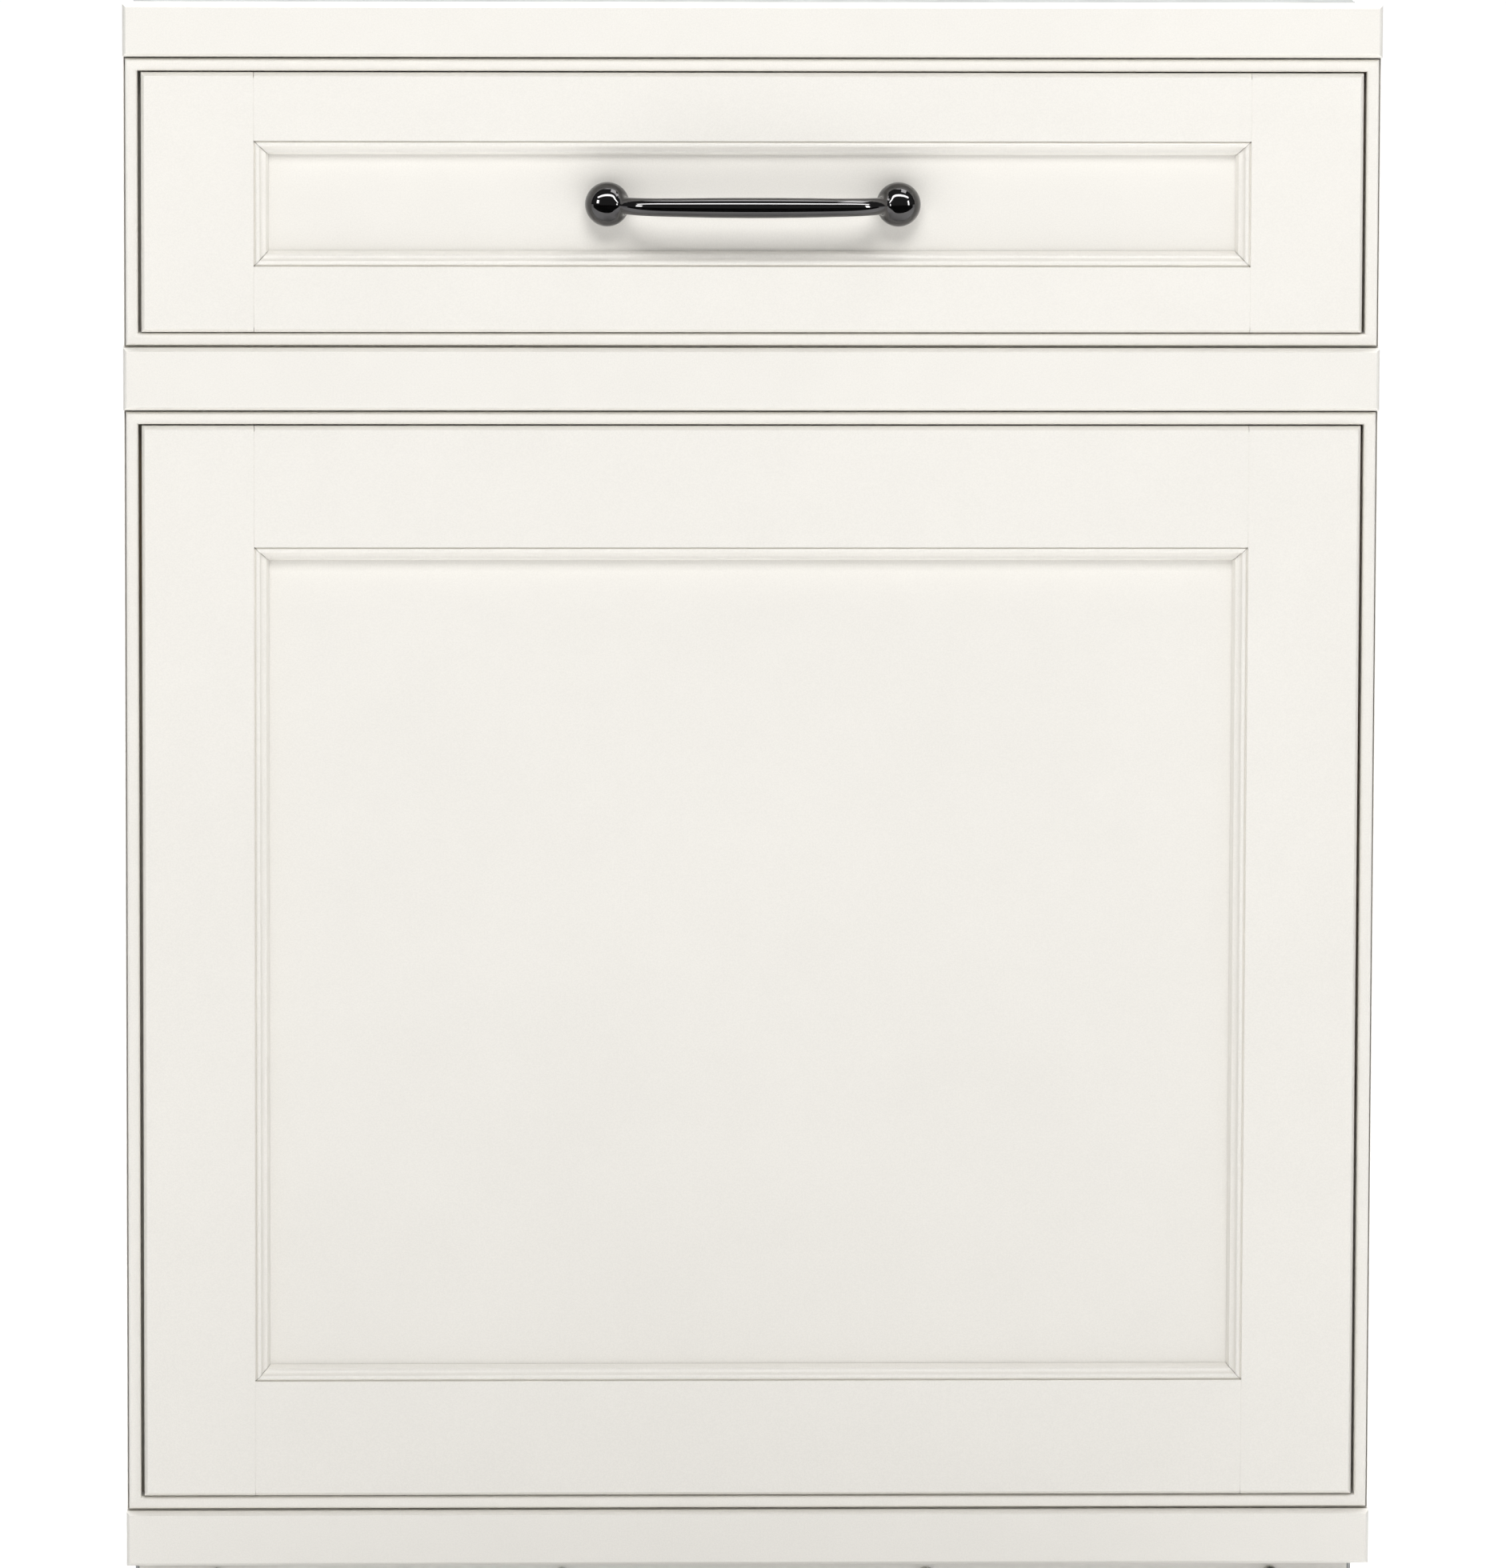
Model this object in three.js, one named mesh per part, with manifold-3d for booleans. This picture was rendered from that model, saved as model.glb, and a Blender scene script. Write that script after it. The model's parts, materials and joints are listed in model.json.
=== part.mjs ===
// A built-in trash compactor behind a painted cabinet face.
// Millimetres, +Z up. X runs to the viewer's right, the face looks along -Y, and the origin lies on the
// floor under the middle of the machine. At rest the drawer is closed and the ram is at the top.
import * as THREE from "three";
import { mergeVertices } from "three/addons/utils/BufferGeometryUtils.js";
import Module from "manifold-3d";

const wasm = await Module();
wasm.setup();

// ---- driving dimensions: the face ----
const FACE_WIDTH = 606;
const FACE_HEIGHT = 762;
const TOE_HEIGHT = 114.3;
const FACE_TOP = TOE_HEIGHT + FACE_HEIGHT;
const RAIL_TOP_HEIGHT = 25.4;
const RAIL_MIDDLE_HEIGHT = 30;
const RAIL_BOTTOM_HEIGHT = 26.5;
const UPPER_OPENING_HEIGHT = 140.7;
const RAIL_THICKNESS = 19.7;
const FRONT_THICKNESS = 18.7;
const BEAD_WIDTH = 6.9;
const BEAD_CROWN = 15.9;
const BEAD_SHOULDER = 13.6;
const BEAD_LIP = 0.3;
const BEAD_GROOVE = 0.65;
const BEAD_GROOVE_BOTTOM = 9;
const BEAD_FRAME_INSET = 0.3;
const SIDE_GAP = 1.6;
const NARROW_GAP = 0.9;
const DOOR_BOTTOM_GAP = 1.1;
const EASED_EDGE = 1.6;
const EASED_DEPTH = 2.2;
const BOARD_THICKNESS = 12;
const STILE_WIDTH = 54;
const STICKING_WIDTH = 7.2;
const PANEL_THICKNESS = 6;
const DRAWER_FRONT_FRAME = { topRail: 32.6, bottomRail: 31.7, recess: 8 };
const DOOR_FRONT_FRAME = { topRail: 58.5, bottomRail: 56.5, recess: 8.6 };
const JOINT_GAP = 0.2;
const FIT_GAP = 0.3;

// ---- driving dimensions: the pull ----
const PULL_PROJECTION = 25;
const PULL_CENTRES = 140.2;
const PULL_FOOT_RADIUS = 10.75;
const PULL_BAR_RADIUS = 4.7;
const PULL_FILLET = 5.5;
const PULL_LEAN = 47;
const PULL_BEND_LENGTH = 33;
const PULL_BOW = 3;
const PULL_SCREW_RADIUS = 2;

// ---- driving dimensions: the machine ----
const TOTAL_DEPTH = 627;
const CABINET_WIDTH = 600;
const CABINET_TOP = 867.8;
const SHEET = 1.5;
const FLANGE = 14;
const GLAND_PROJECTION = 6;
const TOE_RECESS = 75.5;
const PAN_BOTTOM = 30;
const DECK_TOP = 99;
const DECK_THICKNESS = 3;
const SLIDE_LENGTH = 420;
const SLIDE_WEB_X = 250;
const CARRIAGE_HALF_WIDTH = 236;
const CARRIAGE_BOTTOM = 112;
const CARRIAGE_WALL_TOP = 170;
const CARRIAGE_LENGTH = 431;
const INNER_FRONT_HALF_WIDTH = 285;
const INNER_FRONT_BOTTOM = 120;
const INNER_FRONT_TOP = 865;
const CONTAINER_HALF_WIDTH = 222;
const CONTAINER_FRONT_CLEARANCE = 26.4;
const CONTAINER_BACK_CLEARANCE = 3.5;
const CONTAINER_TOP = 450;
const CONTAINER_WALL = 2;
const GATE_HINGE_HEIGHT = 174.5;
const SCREW_X = 264;
const SCREW_RADIUS = 9.5;
const JOURNAL_RADIUS = 7;
const RAM_BOTTOM = 490;
const RAM_HALF_WIDTH = 208;
const RAM_LENGTH = 368;
const CROSSHEAD_BOTTOM = 765;
const CROSSHEAD_HEIGHT = 40;
const SCREW_PITCH_RADIUS = 27.43;
const DRIVE_PITCH_RADIUS = 13.92;
const SPROCKET_BOTTOM = 74;
const SPROCKET_HEIGHT = 8;
const DRIVE_TO_BACK = 67.5;
const FOOT_RADIUS = 20;
const FRONT_TO_CABINET = 3.4;

// ---- levels along Y that follow from them, front to back ----
const Y_PULL = -TOTAL_DEPTH / 2;
const Y_RAIL_FACE = Y_PULL + PULL_PROJECTION;
const Y_BOARD = Y_RAIL_FACE + RAIL_THICKNESS + FIT_GAP;
const Y_BOARD_BACK = Y_BOARD + BOARD_THICKNESS;
const Y_FRONT_FACE = Y_BOARD - FIT_GAP - FRONT_THICKNESS;
const Y_INNER_FRONT = Y_BOARD_BACK + FIT_GAP;
const Y_INNER_FRONT_BACK = Y_INNER_FRONT + SHEET;
const Y_CABINET = Y_INNER_FRONT_BACK + FRONT_TO_CABINET;
const Y_TOE = Y_RAIL_FACE + TOE_RECESS;
const Y_INSIDE_TOE = Y_TOE + SHEET + FIT_GAP;
const Y_BACK = TOTAL_DEPTH / 2 - GLAND_PROJECTION;
const Y_CARRIAGE_BACK = Y_INNER_FRONT_BACK + FIT_GAP + CARRIAGE_LENGTH;
const Y_CONTAINER = Y_INNER_FRONT_BACK + CONTAINER_FRONT_CLEARANCE;
const Y_CONTAINER_BACK = Y_CARRIAGE_BACK - SHEET - CONTAINER_BACK_CLEARANCE;
const Y_SCREW = (Y_CONTAINER + Y_CONTAINER_BACK) / 2;
const Y_DRIVE = Y_BACK - DRIVE_TO_BACK;

// ---- solids ----
const forward = new THREE.Vector3(0, -1, 0);

function bare(geometry) {
  const positions = geometry.clone();
  positions.deleteAttribute("normal");
  positions.deleteAttribute("uv");
  return mergeVertices(positions, 1e-4);
}

// Turns every triangle outwards when the closed surface is inside out.
function outward(geometry) {
  const merged = bare(geometry);
  const index = merged.index.array;
  const corner = [0, 1, 2].map(() => new THREE.Vector3());
  let volume = 0;
  for (let i = 0; i < index.length; i += 3) {
    corner.forEach((point, k) => point.fromBufferAttribute(merged.attributes.position, index[i + k]));
    volume += corner[0].dot(corner[1].cross(corner[2]));
  }
  if (volume < 0) {
    for (let i = 0; i < index.length; i += 3) {
      [index[i], index[i + 1]] = [index[i + 1], index[i]];
    }
  }
  return merged;
}

function toSolid(geometry) {
  const merged = outward(geometry);
  const mesh = new wasm.Mesh({
    numProp: 3,
    vertProperties: new Float32Array(merged.attributes.position.array),
    triVerts: new Uint32Array(merged.index.array),
  });
  return new wasm.Manifold(mesh);
}

function fromSolid(solid) {
  const mesh = solid.getMesh();
  const geometry = new THREE.BufferGeometry();
  geometry.setAttribute("position", new THREE.BufferAttribute(mesh.vertProperties, 3));
  geometry.setIndex(new THREE.BufferAttribute(mesh.triVerts, 1));
  return geometry;
}

function join(...geometries) {
  return fromSolid(geometries.map(toSolid).reduce((sum, solid) => sum.add(solid)));
}

function cut(geometry, ...tools) {
  return fromSolid(tools.map(toSolid).reduce((rest, tool) => rest.subtract(tool), toSolid(geometry)));
}

function common(geometry, other) {
  return fromSolid(toSolid(geometry).intersect(toSolid(other)));
}

function block(x0, x1, y0, y1, z0, z1) {
  const geometry = new THREE.BoxGeometry(x1 - x0, y1 - y0, z1 - z0);
  return geometry.translate((x0 + x1) / 2, (y0 + y1) / 2, (z0 + z1) / 2);
}

function pillar(radius, x, y, z0, z1, sides = 32) {
  const geometry = new THREE.CylinderGeometry(radius, radius, z1 - z0, sides);
  return geometry.rotateX(Math.PI / 2).translate(x, y, (z0 + z1) / 2);
}

// A round rod along Y.
function rod(radius, x, z, y0, y1, sides = 24) {
  const geometry = new THREE.CylinderGeometry(radius, radius, y1 - y0, sides);
  return geometry.translate(x, (y0 + y1) / 2, z);
}

// A turned piece: the profile is [radius, height] pairs, stood on the point (x, y).
function turned(profile, x, y, sides = 32) {
  const points = profile.map(([radius, height]) => new THREE.Vector2(radius, height));
  return new THREE.LatheGeometry(points, sides).rotateX(Math.PI / 2).translate(x, y, 0);
}

function outline(points) {
  return new THREE.Shape(points.map(([u, v]) => new THREE.Vector2(u, v)));
}

// A straight length of a section drawn in (x, z), running along Y.
function lengthAlongY(points, y0, y1) {
  const geometry = new THREE.ExtrudeGeometry(outline(points), { depth: y1 - y0, bevelEnabled: false });
  return geometry.rotateX(Math.PI / 2).translate(0, y1, 0);
}

// A flat sheet drawn in (y, z), with its thickness along X.
function sheetAcrossX(points, x0, x1) {
  const geometry = new THREE.ExtrudeGeometry(outline(points), { depth: x1 - x0, bevelEnabled: false });
  const turn = new THREE.Matrix4().makeBasis(
    new THREE.Vector3(0, 1, 0),
    new THREE.Vector3(0, 0, 1),
    new THREE.Vector3(1, 0, 0),
  );
  return geometry.applyMatrix4(turn).translate(x0, 0, 0);
}

function mirrored(geometry) {
  return outward(geometry.clone().scale(-1, 1, 1));
}

// A board with all its arrises taken off by a small chamfer.
function easedBoard(x0, x1, z0, z1, yFace, thickness) {
  const edge = EASED_EDGE;
  const shape = outline([
    [x0 + edge, z0 + edge],
    [x1 - edge, z0 + edge],
    [x1 - edge, z1 - edge],
    [x0 + edge, z1 - edge],
  ]);
  const geometry = new THREE.ExtrudeGeometry(shape, {
    depth: thickness - 2 * EASED_DEPTH,
    bevelEnabled: true,
    bevelThickness: EASED_DEPTH,
    bevelSize: edge,
    bevelSegments: 1,
  });
  return geometry.rotateX(Math.PI / 2).translate(0, yFace + thickness - EASED_DEPTH, 0);
}

// A mitred rectangular frame of one moulding. The profile is [offset from the outer edge, height].
function mitredFrame(x0, x1, z0, z1, yBack, profile) {
  const reach = 1000;
  const points = profile.map(([offset, height]) => new THREE.Vector2(reach - offset, height));
  points.push(points[0].clone());
  const geometry = new THREE.LatheGeometry(points, 4, Math.PI / 4);
  const position = geometry.attributes.position;
  for (let i = 0; i < position.count; i += 1) {
    const x = position.getX(i);
    const z = position.getZ(i);
    const offset = reach - Math.hypot(x, z);
    const side = (x1 - x0) / 2 - offset;
    const rise = (z1 - z0) / 2 - offset;
    const height = position.getY(i);
    const middleX = (x0 + x1) / 2;
    const middleZ = (z0 + z1) / 2;
    position.setXYZ(i, middleX + Math.sign(x) * side, yBack - height, middleZ + Math.sign(z) * rise);
  }
  return outward(geometry);
}

// ---- the face ----
const white = { color: 0xf6f3ec, roughness: 0.42, metalness: 0 };
const steel = { color: 0xb9bcc0, roughness: 0.45, metalness: 0.9 };
const darkSteel = { color: 0x4a4c50, roughness: 0.5, metalness: 0.8 };
const gunmetal = { color: 0x3a3937, roughness: 0.12, metalness: 1 };
const paint = { color: 0xd9dadb, roughness: 0.5, metalness: 0.2 };
const plastic = { color: 0x26282b, roughness: 0.5, metalness: 0 };
const bronze = { color: 0x8d6a3a, roughness: 0.45, metalness: 0.9 };

const compactor = new THREE.Group();

function add(name, geometry, look) {
  const closed = outward(geometry);
  closed.computeVertexNormals();
  const mesh = new THREE.Mesh(closed, new THREE.MeshStandardMaterial(look));
  mesh.name = name;
  compactor.add(mesh);
}

const upperTop = FACE_TOP - RAIL_TOP_HEIGHT;
const upperBottom = upperTop - UPPER_OPENING_HEIGHT;
const lowerTop = upperBottom - RAIL_MIDDLE_HEIGHT;
const lowerBottom = TOE_HEIGHT + RAIL_BOTTOM_HEIGHT;

function addFaceRail(name, z0, z1) {
  add(name, easedBoard(-FACE_WIDTH / 2, FACE_WIDTH / 2, z0, z1, Y_RAIL_FACE, RAIL_THICKNESS), white);
}

// The bead: a thin lip, a narrow deep groove and a low crown with round shoulders.
function beadProfile() {
  const start = BEAD_LIP + BEAD_GROOVE;
  const half = (BEAD_WIDTH - start) / 2;
  const roundness = 2.8;
  const profile = [
    [0, 0],
    [0, BEAD_SHOULDER - 1],
    [BEAD_LIP, BEAD_SHOULDER - 1],
    [BEAD_LIP, BEAD_GROOVE_BOTTOM],
    [start, BEAD_GROOVE_BOTTOM],
    [start, BEAD_SHOULDER],
  ];
  const steps = 12;
  for (let i = 1; i < steps; i += 1) {
    const across = -Math.cos((Math.PI * i) / steps);
    const rise = (1 - Math.abs(across) ** roundness) ** (1 / roundness);
    profile.push([start + half * (1 + across), BEAD_SHOULDER + (BEAD_CROWN - BEAD_SHOULDER) * rise]);
  }
  profile.push([BEAD_WIDTH, BEAD_SHOULDER], [BEAD_WIDTH, 0]);
  return profile;
}

function addBeadFrame(name, z0, z1) {
  const half = FACE_WIDTH / 2 - BEAD_FRAME_INSET;
  const edge = JOINT_GAP;
  add(name, mitredFrame(-half, half, z0 + edge, z1 - edge, Y_BOARD - FIT_GAP, beadProfile()), white);
}

// The moulded inner edge of a frame: a quirk, a small round, a cove and a last steep slope.
function stickingProfile(recess) {
  const quirkWidth = 0.6;
  const quirkDepth = 1.6;
  const coveTop = 3;
  const coveTopDepth = 0.7;
  const coveEnd = STICKING_WIDTH - 1.6;
  const coveDepth = recess * 0.5;
  const profile = [[-0.6, -recess], [STICKING_WIDTH, -recess], [coveEnd + 0.2, -coveDepth]];
  const steps = 5;
  for (let i = 0; i <= steps; i += 1) {
    const angle = (Math.PI / 2) * (i / steps);
    const across = coveEnd - (coveEnd - coveTop) * Math.sin(angle);
    profile.push([across, -coveTopDepth - (coveDepth - coveTopDepth) * Math.cos(angle)]);
  }
  profile.push([2.6, -0.3], [2, -0.12], [1.4, -0.3], [0.8, -0.8]);
  profile.push([quirkWidth, -quirkDepth], [-0.6, -quirkDepth]);
  return profile;
}

// One strip of that moulding, mitred at both ends, lying with its back edge on the given corner.
function stickingStrip(corner, inward, length, recess) {
  const shape = outline(stickingProfile(recess));
  const geometry = new THREE.ExtrudeGeometry(shape, { depth: length, bevelEnabled: false });
  const position = geometry.attributes.position;
  for (let i = 0; i < position.count; i += 1) {
    const mitre = Math.max(position.getX(i), 0) + JOINT_GAP * 0.75;
    position.setZ(i, position.getZ(i) < length / 2 ? mitre : length - mitre);
  }
  const along = new THREE.Vector3().crossVectors(inward, forward);
  const place = new THREE.Matrix4().makeBasis(inward, forward, along).setPosition(corner);
  return geometry.applyMatrix4(place);
}

// A frame and panel front: two full-height stiles, two rails between them and a flat panel behind.
function addFramedFront(prefix, z0, z1, frame) {
  const half = FACE_WIDTH / 2 - BEAD_FRAME_INSET - BEAD_WIDTH - SIDE_GAP;
  const inner = half - STILE_WIDTH;
  const top = z1 - frame.topRail;
  const bottom = z0 + frame.bottomRail;
  const slab = easedBoard(-half, half, z0, z1, Y_FRONT_FACE, FRONT_THICKNESS);
  const y0 = Y_FRONT_FACE - 1;
  const y1 = Y_FRONT_FACE + FRONT_THICKNESS + 1;
  const strip = (x, z, ax, az, length) => stickingStrip(
    new THREE.Vector3(x, Y_FRONT_FACE, z),
    new THREE.Vector3(ax, 0, az),
    length,
    frame.recess,
  );
  const left = common(slab, block(-half - 1, -inner, y0, y1, z0 - 1, z1 + 1));
  const right = common(slab, block(inner, half + 1, y0, y1, z0 - 1, z1 + 1));
  const railEnd = inner - JOINT_GAP;
  const upper = common(slab, block(-railEnd, railEnd, y0, y1, top, z1 + 1));
  const lower = common(slab, block(-railEnd, railEnd, y0, y1, z0 - 1, bottom));
  add(`${prefix}_stile_left`, join(left, strip(-inner, top, 1, 0, top - bottom)), white);
  add(`${prefix}_stile_right`, join(right, strip(inner, bottom, -1, 0, top - bottom)), white);
  add(`${prefix}_rail_top`, join(upper, strip(inner, top, 0, -1, 2 * inner)), white);
  add(`${prefix}_rail_bottom`, join(lower, strip(-inner, bottom, 0, 1, 2 * inner)), white);
  const yPanel = Y_FRONT_FACE + frame.recess + FIT_GAP;
  const panelHalf = inner - FIT_GAP;
  return block(-panelHalf, panelHalf, yPanel, yPanel + PANEL_THICKNESS, bottom + FIT_GAP, top - FIT_GAP);
}

addFaceRail("face_rail_top", upperTop, FACE_TOP);
addFaceRail("face_rail_middle", lowerTop, upperBottom);
addFaceRail("face_rail_bottom", TOE_HEIGHT, lowerBottom);
addBeadFrame("bead_frame_upper", upperBottom, upperTop);
addBeadFrame("bead_frame_lower", lowerBottom, lowerTop);

const drawerFrontBottom = upperBottom + BEAD_WIDTH + NARROW_GAP;
const drawerFrontTop = upperTop - BEAD_WIDTH - NARROW_GAP;
const pullHeight = (drawerFrontBottom + DRAWER_FRONT_FRAME.bottomRail + drawerFrontTop
  - DRAWER_FRONT_FRAME.topRail) / 2;
const drawerPanel = addFramedFront("drawer_front", drawerFrontBottom, drawerFrontTop, DRAWER_FRONT_FRAME);
const pullFeet = [-PULL_CENTRES / 2, PULL_CENTRES / 2];
const screwHole = PULL_SCREW_RADIUS + FIT_GAP;
const throughHoles = pullFeet.map((x) => rod(screwHole, x, pullHeight, Y_PULL, Y_CABINET));
add("drawer_front_panel", cut(drawerPanel, ...throughHoles), white);
const doorPanel = addFramedFront(
  "door_front",
  lowerBottom + BEAD_WIDTH + DOOR_BOTTOM_GAP,
  lowerTop - BEAD_WIDTH - NARROW_GAP,
  DOOR_FRONT_FRAME,
);
add("door_front_panel", doorPanel, white);

const boardHalf = FACE_WIDTH / 2 - 1;
const board = block(-boardHalf, boardHalf, Y_BOARD, Y_BOARD_BACK, TOE_HEIGHT + 1, FACE_TOP - 1);
const screwHeadDepth = 3;
const counterbores = pullFeet.map((x) => rod(
  5,
  x,
  pullHeight,
  Y_BOARD_BACK - screwHeadDepth - FIT_GAP,
  Y_BOARD_BACK + 1,
));
add("backing_board", cut(board, ...throughHoles, ...counterbores), white);

// ---- the pull: two ball feet and a bent bar, one casting ----
const yDrawerPanel = Y_FRONT_FACE + DRAWER_FRONT_FRAME.recess + FIT_GAP;

// The bar leaves each ball leaning inwards, then bends to run across with a slight outward bow.
function pullCasting() {
  const ballInset = 8.5;
  const yBall = yDrawerPanel - FIT_GAP - ballInset;
  const yBar = Y_PULL + PULL_BAR_RADIUS;
  const foot = PULL_CENTRES / 2;
  const lean = THREE.MathUtils.degToRad(PULL_LEAN);
  const neck = Math.sqrt((PULL_FOOT_RADIUS + PULL_FILLET) ** 2 - (PULL_BAR_RADIUS + PULL_FILLET) ** 2);
  const leaning = (side, reach) => new THREE.Vector3(
    side * (foot - Math.cos(lean) * reach),
    yBall - Math.sin(lean) * reach,
    pullHeight,
  );
  const bend = (side) => new THREE.CubicBezierCurve3(
    leaning(side, neck),
    leaning(side, neck + 8),
    new THREE.Vector3(side * (foot - PULL_BEND_LENGTH + 12), yBar + PULL_BOW * 1.4, pullHeight),
    new THREE.Vector3(side * (foot - PULL_BEND_LENGTH), yBar + PULL_BOW * 0.5, pullHeight),
  );
  const arm = (side) => [leaning(side, 0), leaning(side, neck / 2), ...bend(side).getPoints(12)];
  const middle = new THREE.Vector3(0, yBar, pullHeight);
  const path = new THREE.CatmullRomCurve3([...arm(-1), middle, ...arm(1).reverse()]);
  const circle = new THREE.Shape().absarc(0, 0, PULL_BAR_RADIUS, 0, Math.PI * 2);
  const bar = new THREE.ExtrudeGeometry(circle, {
    steps: 40,
    extrudePath: path,
    curveSegments: 8,
    bevelEnabled: false,
  });
  const balls = pullFeet.map((x) => {
    const ball = new THREE.SphereGeometry(PULL_FOOT_RADIUS, 24, 14);
    return ball.rotateX(Math.PI / 2).translate(x, yBall, pullHeight);
  });
  const yCut = yDrawerPanel - FIT_GAP;
  const behind = block(-PULL_CENTRES, PULL_CENTRES, yCut, yCut + 40, pullHeight - 20, pullHeight + 20);
  const taps = pullFeet.map((x) => rod(
    PULL_SCREW_RADIUS + FIT_GAP,
    x,
    pullHeight,
    yDrawerPanel - 10,
    yDrawerPanel + 1,
  ));
  return cut(join(bar, ...balls), behind, ...taps);
}

add("pull_handle", pullCasting(), gunmetal);

function addPullScrew(name, x) {
  const yHead = Y_BOARD_BACK - screwHeadDepth;
  const head = rod(4, x, pullHeight, yHead, Y_BOARD_BACK);
  const shank = rod(PULL_SCREW_RADIUS, x, pullHeight, yDrawerPanel - 9, yHead + 1, 16);
  add(name, join(shank, head), steel);
}

addPullScrew("pull_screw_left", pullFeet[0]);
addPullScrew("pull_screw_right", pullFeet[1]);

// ---- the drawer behind the face ----
const innerFront = block(
  -INNER_FRONT_HALF_WIDTH,
  INNER_FRONT_HALF_WIDTH,
  Y_INNER_FRONT,
  Y_INNER_FRONT_BACK,
  INNER_FRONT_BOTTOM,
  INNER_FRONT_TOP,
);
add("drawer_inner_front", innerFront, paint);

const yCarriage = Y_INNER_FRONT_BACK + FIT_GAP;

// The carriage: a folded tray with two front posts that stiffen the face.
function carriage() {
  const half = CARRIAGE_HALF_WIDTH;
  const post = 22;
  const postTop = 520;
  const side = [
    [yCarriage, CARRIAGE_BOTTOM],
    [Y_CARRIAGE_BACK, CARRIAGE_BOTTOM],
    [Y_CARRIAGE_BACK, CARRIAGE_WALL_TOP],
    [yCarriage + post + 30, CARRIAGE_WALL_TOP],
    [yCarriage + post, CARRIAGE_WALL_TOP + 30],
    [yCarriage + post, postTop],
    [yCarriage, postTop],
  ];
  const floor = block(-half, half, yCarriage, Y_CARRIAGE_BACK, CARRIAGE_BOTTOM, CARRIAGE_BOTTOM + SHEET);
  const yBackInside = Y_CARRIAGE_BACK - SHEET;
  const back = block(-half, half, yBackInside, Y_CARRIAGE_BACK, CARRIAGE_BOTTOM, CARRIAGE_WALL_TOP);
  return join(
    floor,
    back,
    sheetAcrossX(side, -half, -half + SHEET),
    sheetAcrossX(side, half - SHEET, half),
  );
}

add("drawer_carriage", carriage(), steel);

// The refuse container is open at the top. Its right side is low, with a gate hinged above it.
const containerBottom = CARRIAGE_BOTTOM + SHEET + FIT_GAP;
const gateInner = CONTAINER_HALF_WIDTH - CONTAINER_WALL;

function container() {
  const half = CONTAINER_HALF_WIDTH;
  const wall = CONTAINER_WALL;
  const shell = block(-half, half, Y_CONTAINER, Y_CONTAINER_BACK, containerBottom, CONTAINER_TOP);
  const inside = block(
    -half + wall,
    half - wall,
    Y_CONTAINER + wall,
    Y_CONTAINER_BACK - wall,
    containerBottom + wall,
    CONTAINER_TOP + 1,
  );
  const gateSpace = block(
    gateInner - FIT_GAP,
    half + 1,
    Y_CONTAINER - 1,
    Y_CONTAINER_BACK + 1,
    GATE_HINGE_HEIGHT - 2,
    CONTAINER_TOP + 1,
  );
  return cut(shell, inside, gateSpace);
}

add("refuse_container", container(), paint);
add(
  "container_gate",
  block(gateInner, CONTAINER_HALF_WIDTH, Y_CONTAINER, Y_CONTAINER_BACK, GATE_HINGE_HEIGHT, CONTAINER_TOP),
  paint,
);

// The console stands on the drawer's hidden top edge.
const consoleTop = 860;
const buttonRadius = 9;
const keyRadius = 10;
const buttonHoles = [40, 75];
const keyX = -70;
const yControls = yCarriage + 20;

function consoleShell() {
  const half = 140;
  const depth = 40;
  const height = 30;
  const wall = 3;
  const shell = block(-half, half, yCarriage, yCarriage + depth, consoleTop - height, consoleTop);
  const inside = block(
    -half + wall,
    half - wall,
    yCarriage + wall,
    yCarriage + depth - wall,
    consoleTop - height - 1,
    consoleTop - wall,
  );
  const hole = (x, radius) => pillar(radius + 0.5, x, yControls, consoleTop - 10, consoleTop + 1);
  const holes = buttonHoles.map((x) => hole(x, buttonRadius));
  const keyHole = hole(keyX, keyRadius);
  return cut(shell, inside, ...holes, keyHole);
}

add("control_console", consoleShell(), plastic);

function addButton(name, x, look) {
  const profile = [
    [0, consoleTop - 12],
    [buttonRadius, consoleTop - 12],
    [buttonRadius, consoleTop + 2],
    [buttonRadius - 1, consoleTop + 3],
    [0, consoleTop + 3],
  ];
  add(name, turned(profile, x, yControls), look);
}

addButton("start_button", buttonHoles[0], { color: 0x4f7f5a, roughness: 0.45, metalness: 0 });
addButton("stop_button", buttonHoles[1], { color: 0xa33a32, roughness: 0.45, metalness: 0 });
const keyTop = consoleTop + 3;
const keyCylinder = pillar(keyRadius, keyX, yControls, consoleTop - 18, keyTop);
const keySlot = block(keyX - 5, keyX + 5, yControls - 1, yControls + 1, keyTop - 4, keyTop + 1);
add("key_switch", cut(keyCylinder, keySlot), steel);

// ---- telescopic slides, drawn on the right and mirrored to the left ----
const ySlide = yCarriage + 10;
const ySlideBack = ySlide + SLIDE_LENGTH;
const slideMiddle = 140.5;

// A channel section: a web at x, with two lips that reach to xLip.
function channelSection(x, xLip, halfHeight) {
  const web = Math.sign(xLip - x) * SHEET;
  const low = slideMiddle - halfHeight;
  const high = slideMiddle + halfHeight;
  return [
    [x, low],
    [xLip, low],
    [xLip, low + SHEET],
    [x + web, low + SHEET],
    [x + web, high - SHEET],
    [xLip, high - SHEET],
    [xLip, high],
    [x, high],
  ];
}

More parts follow.
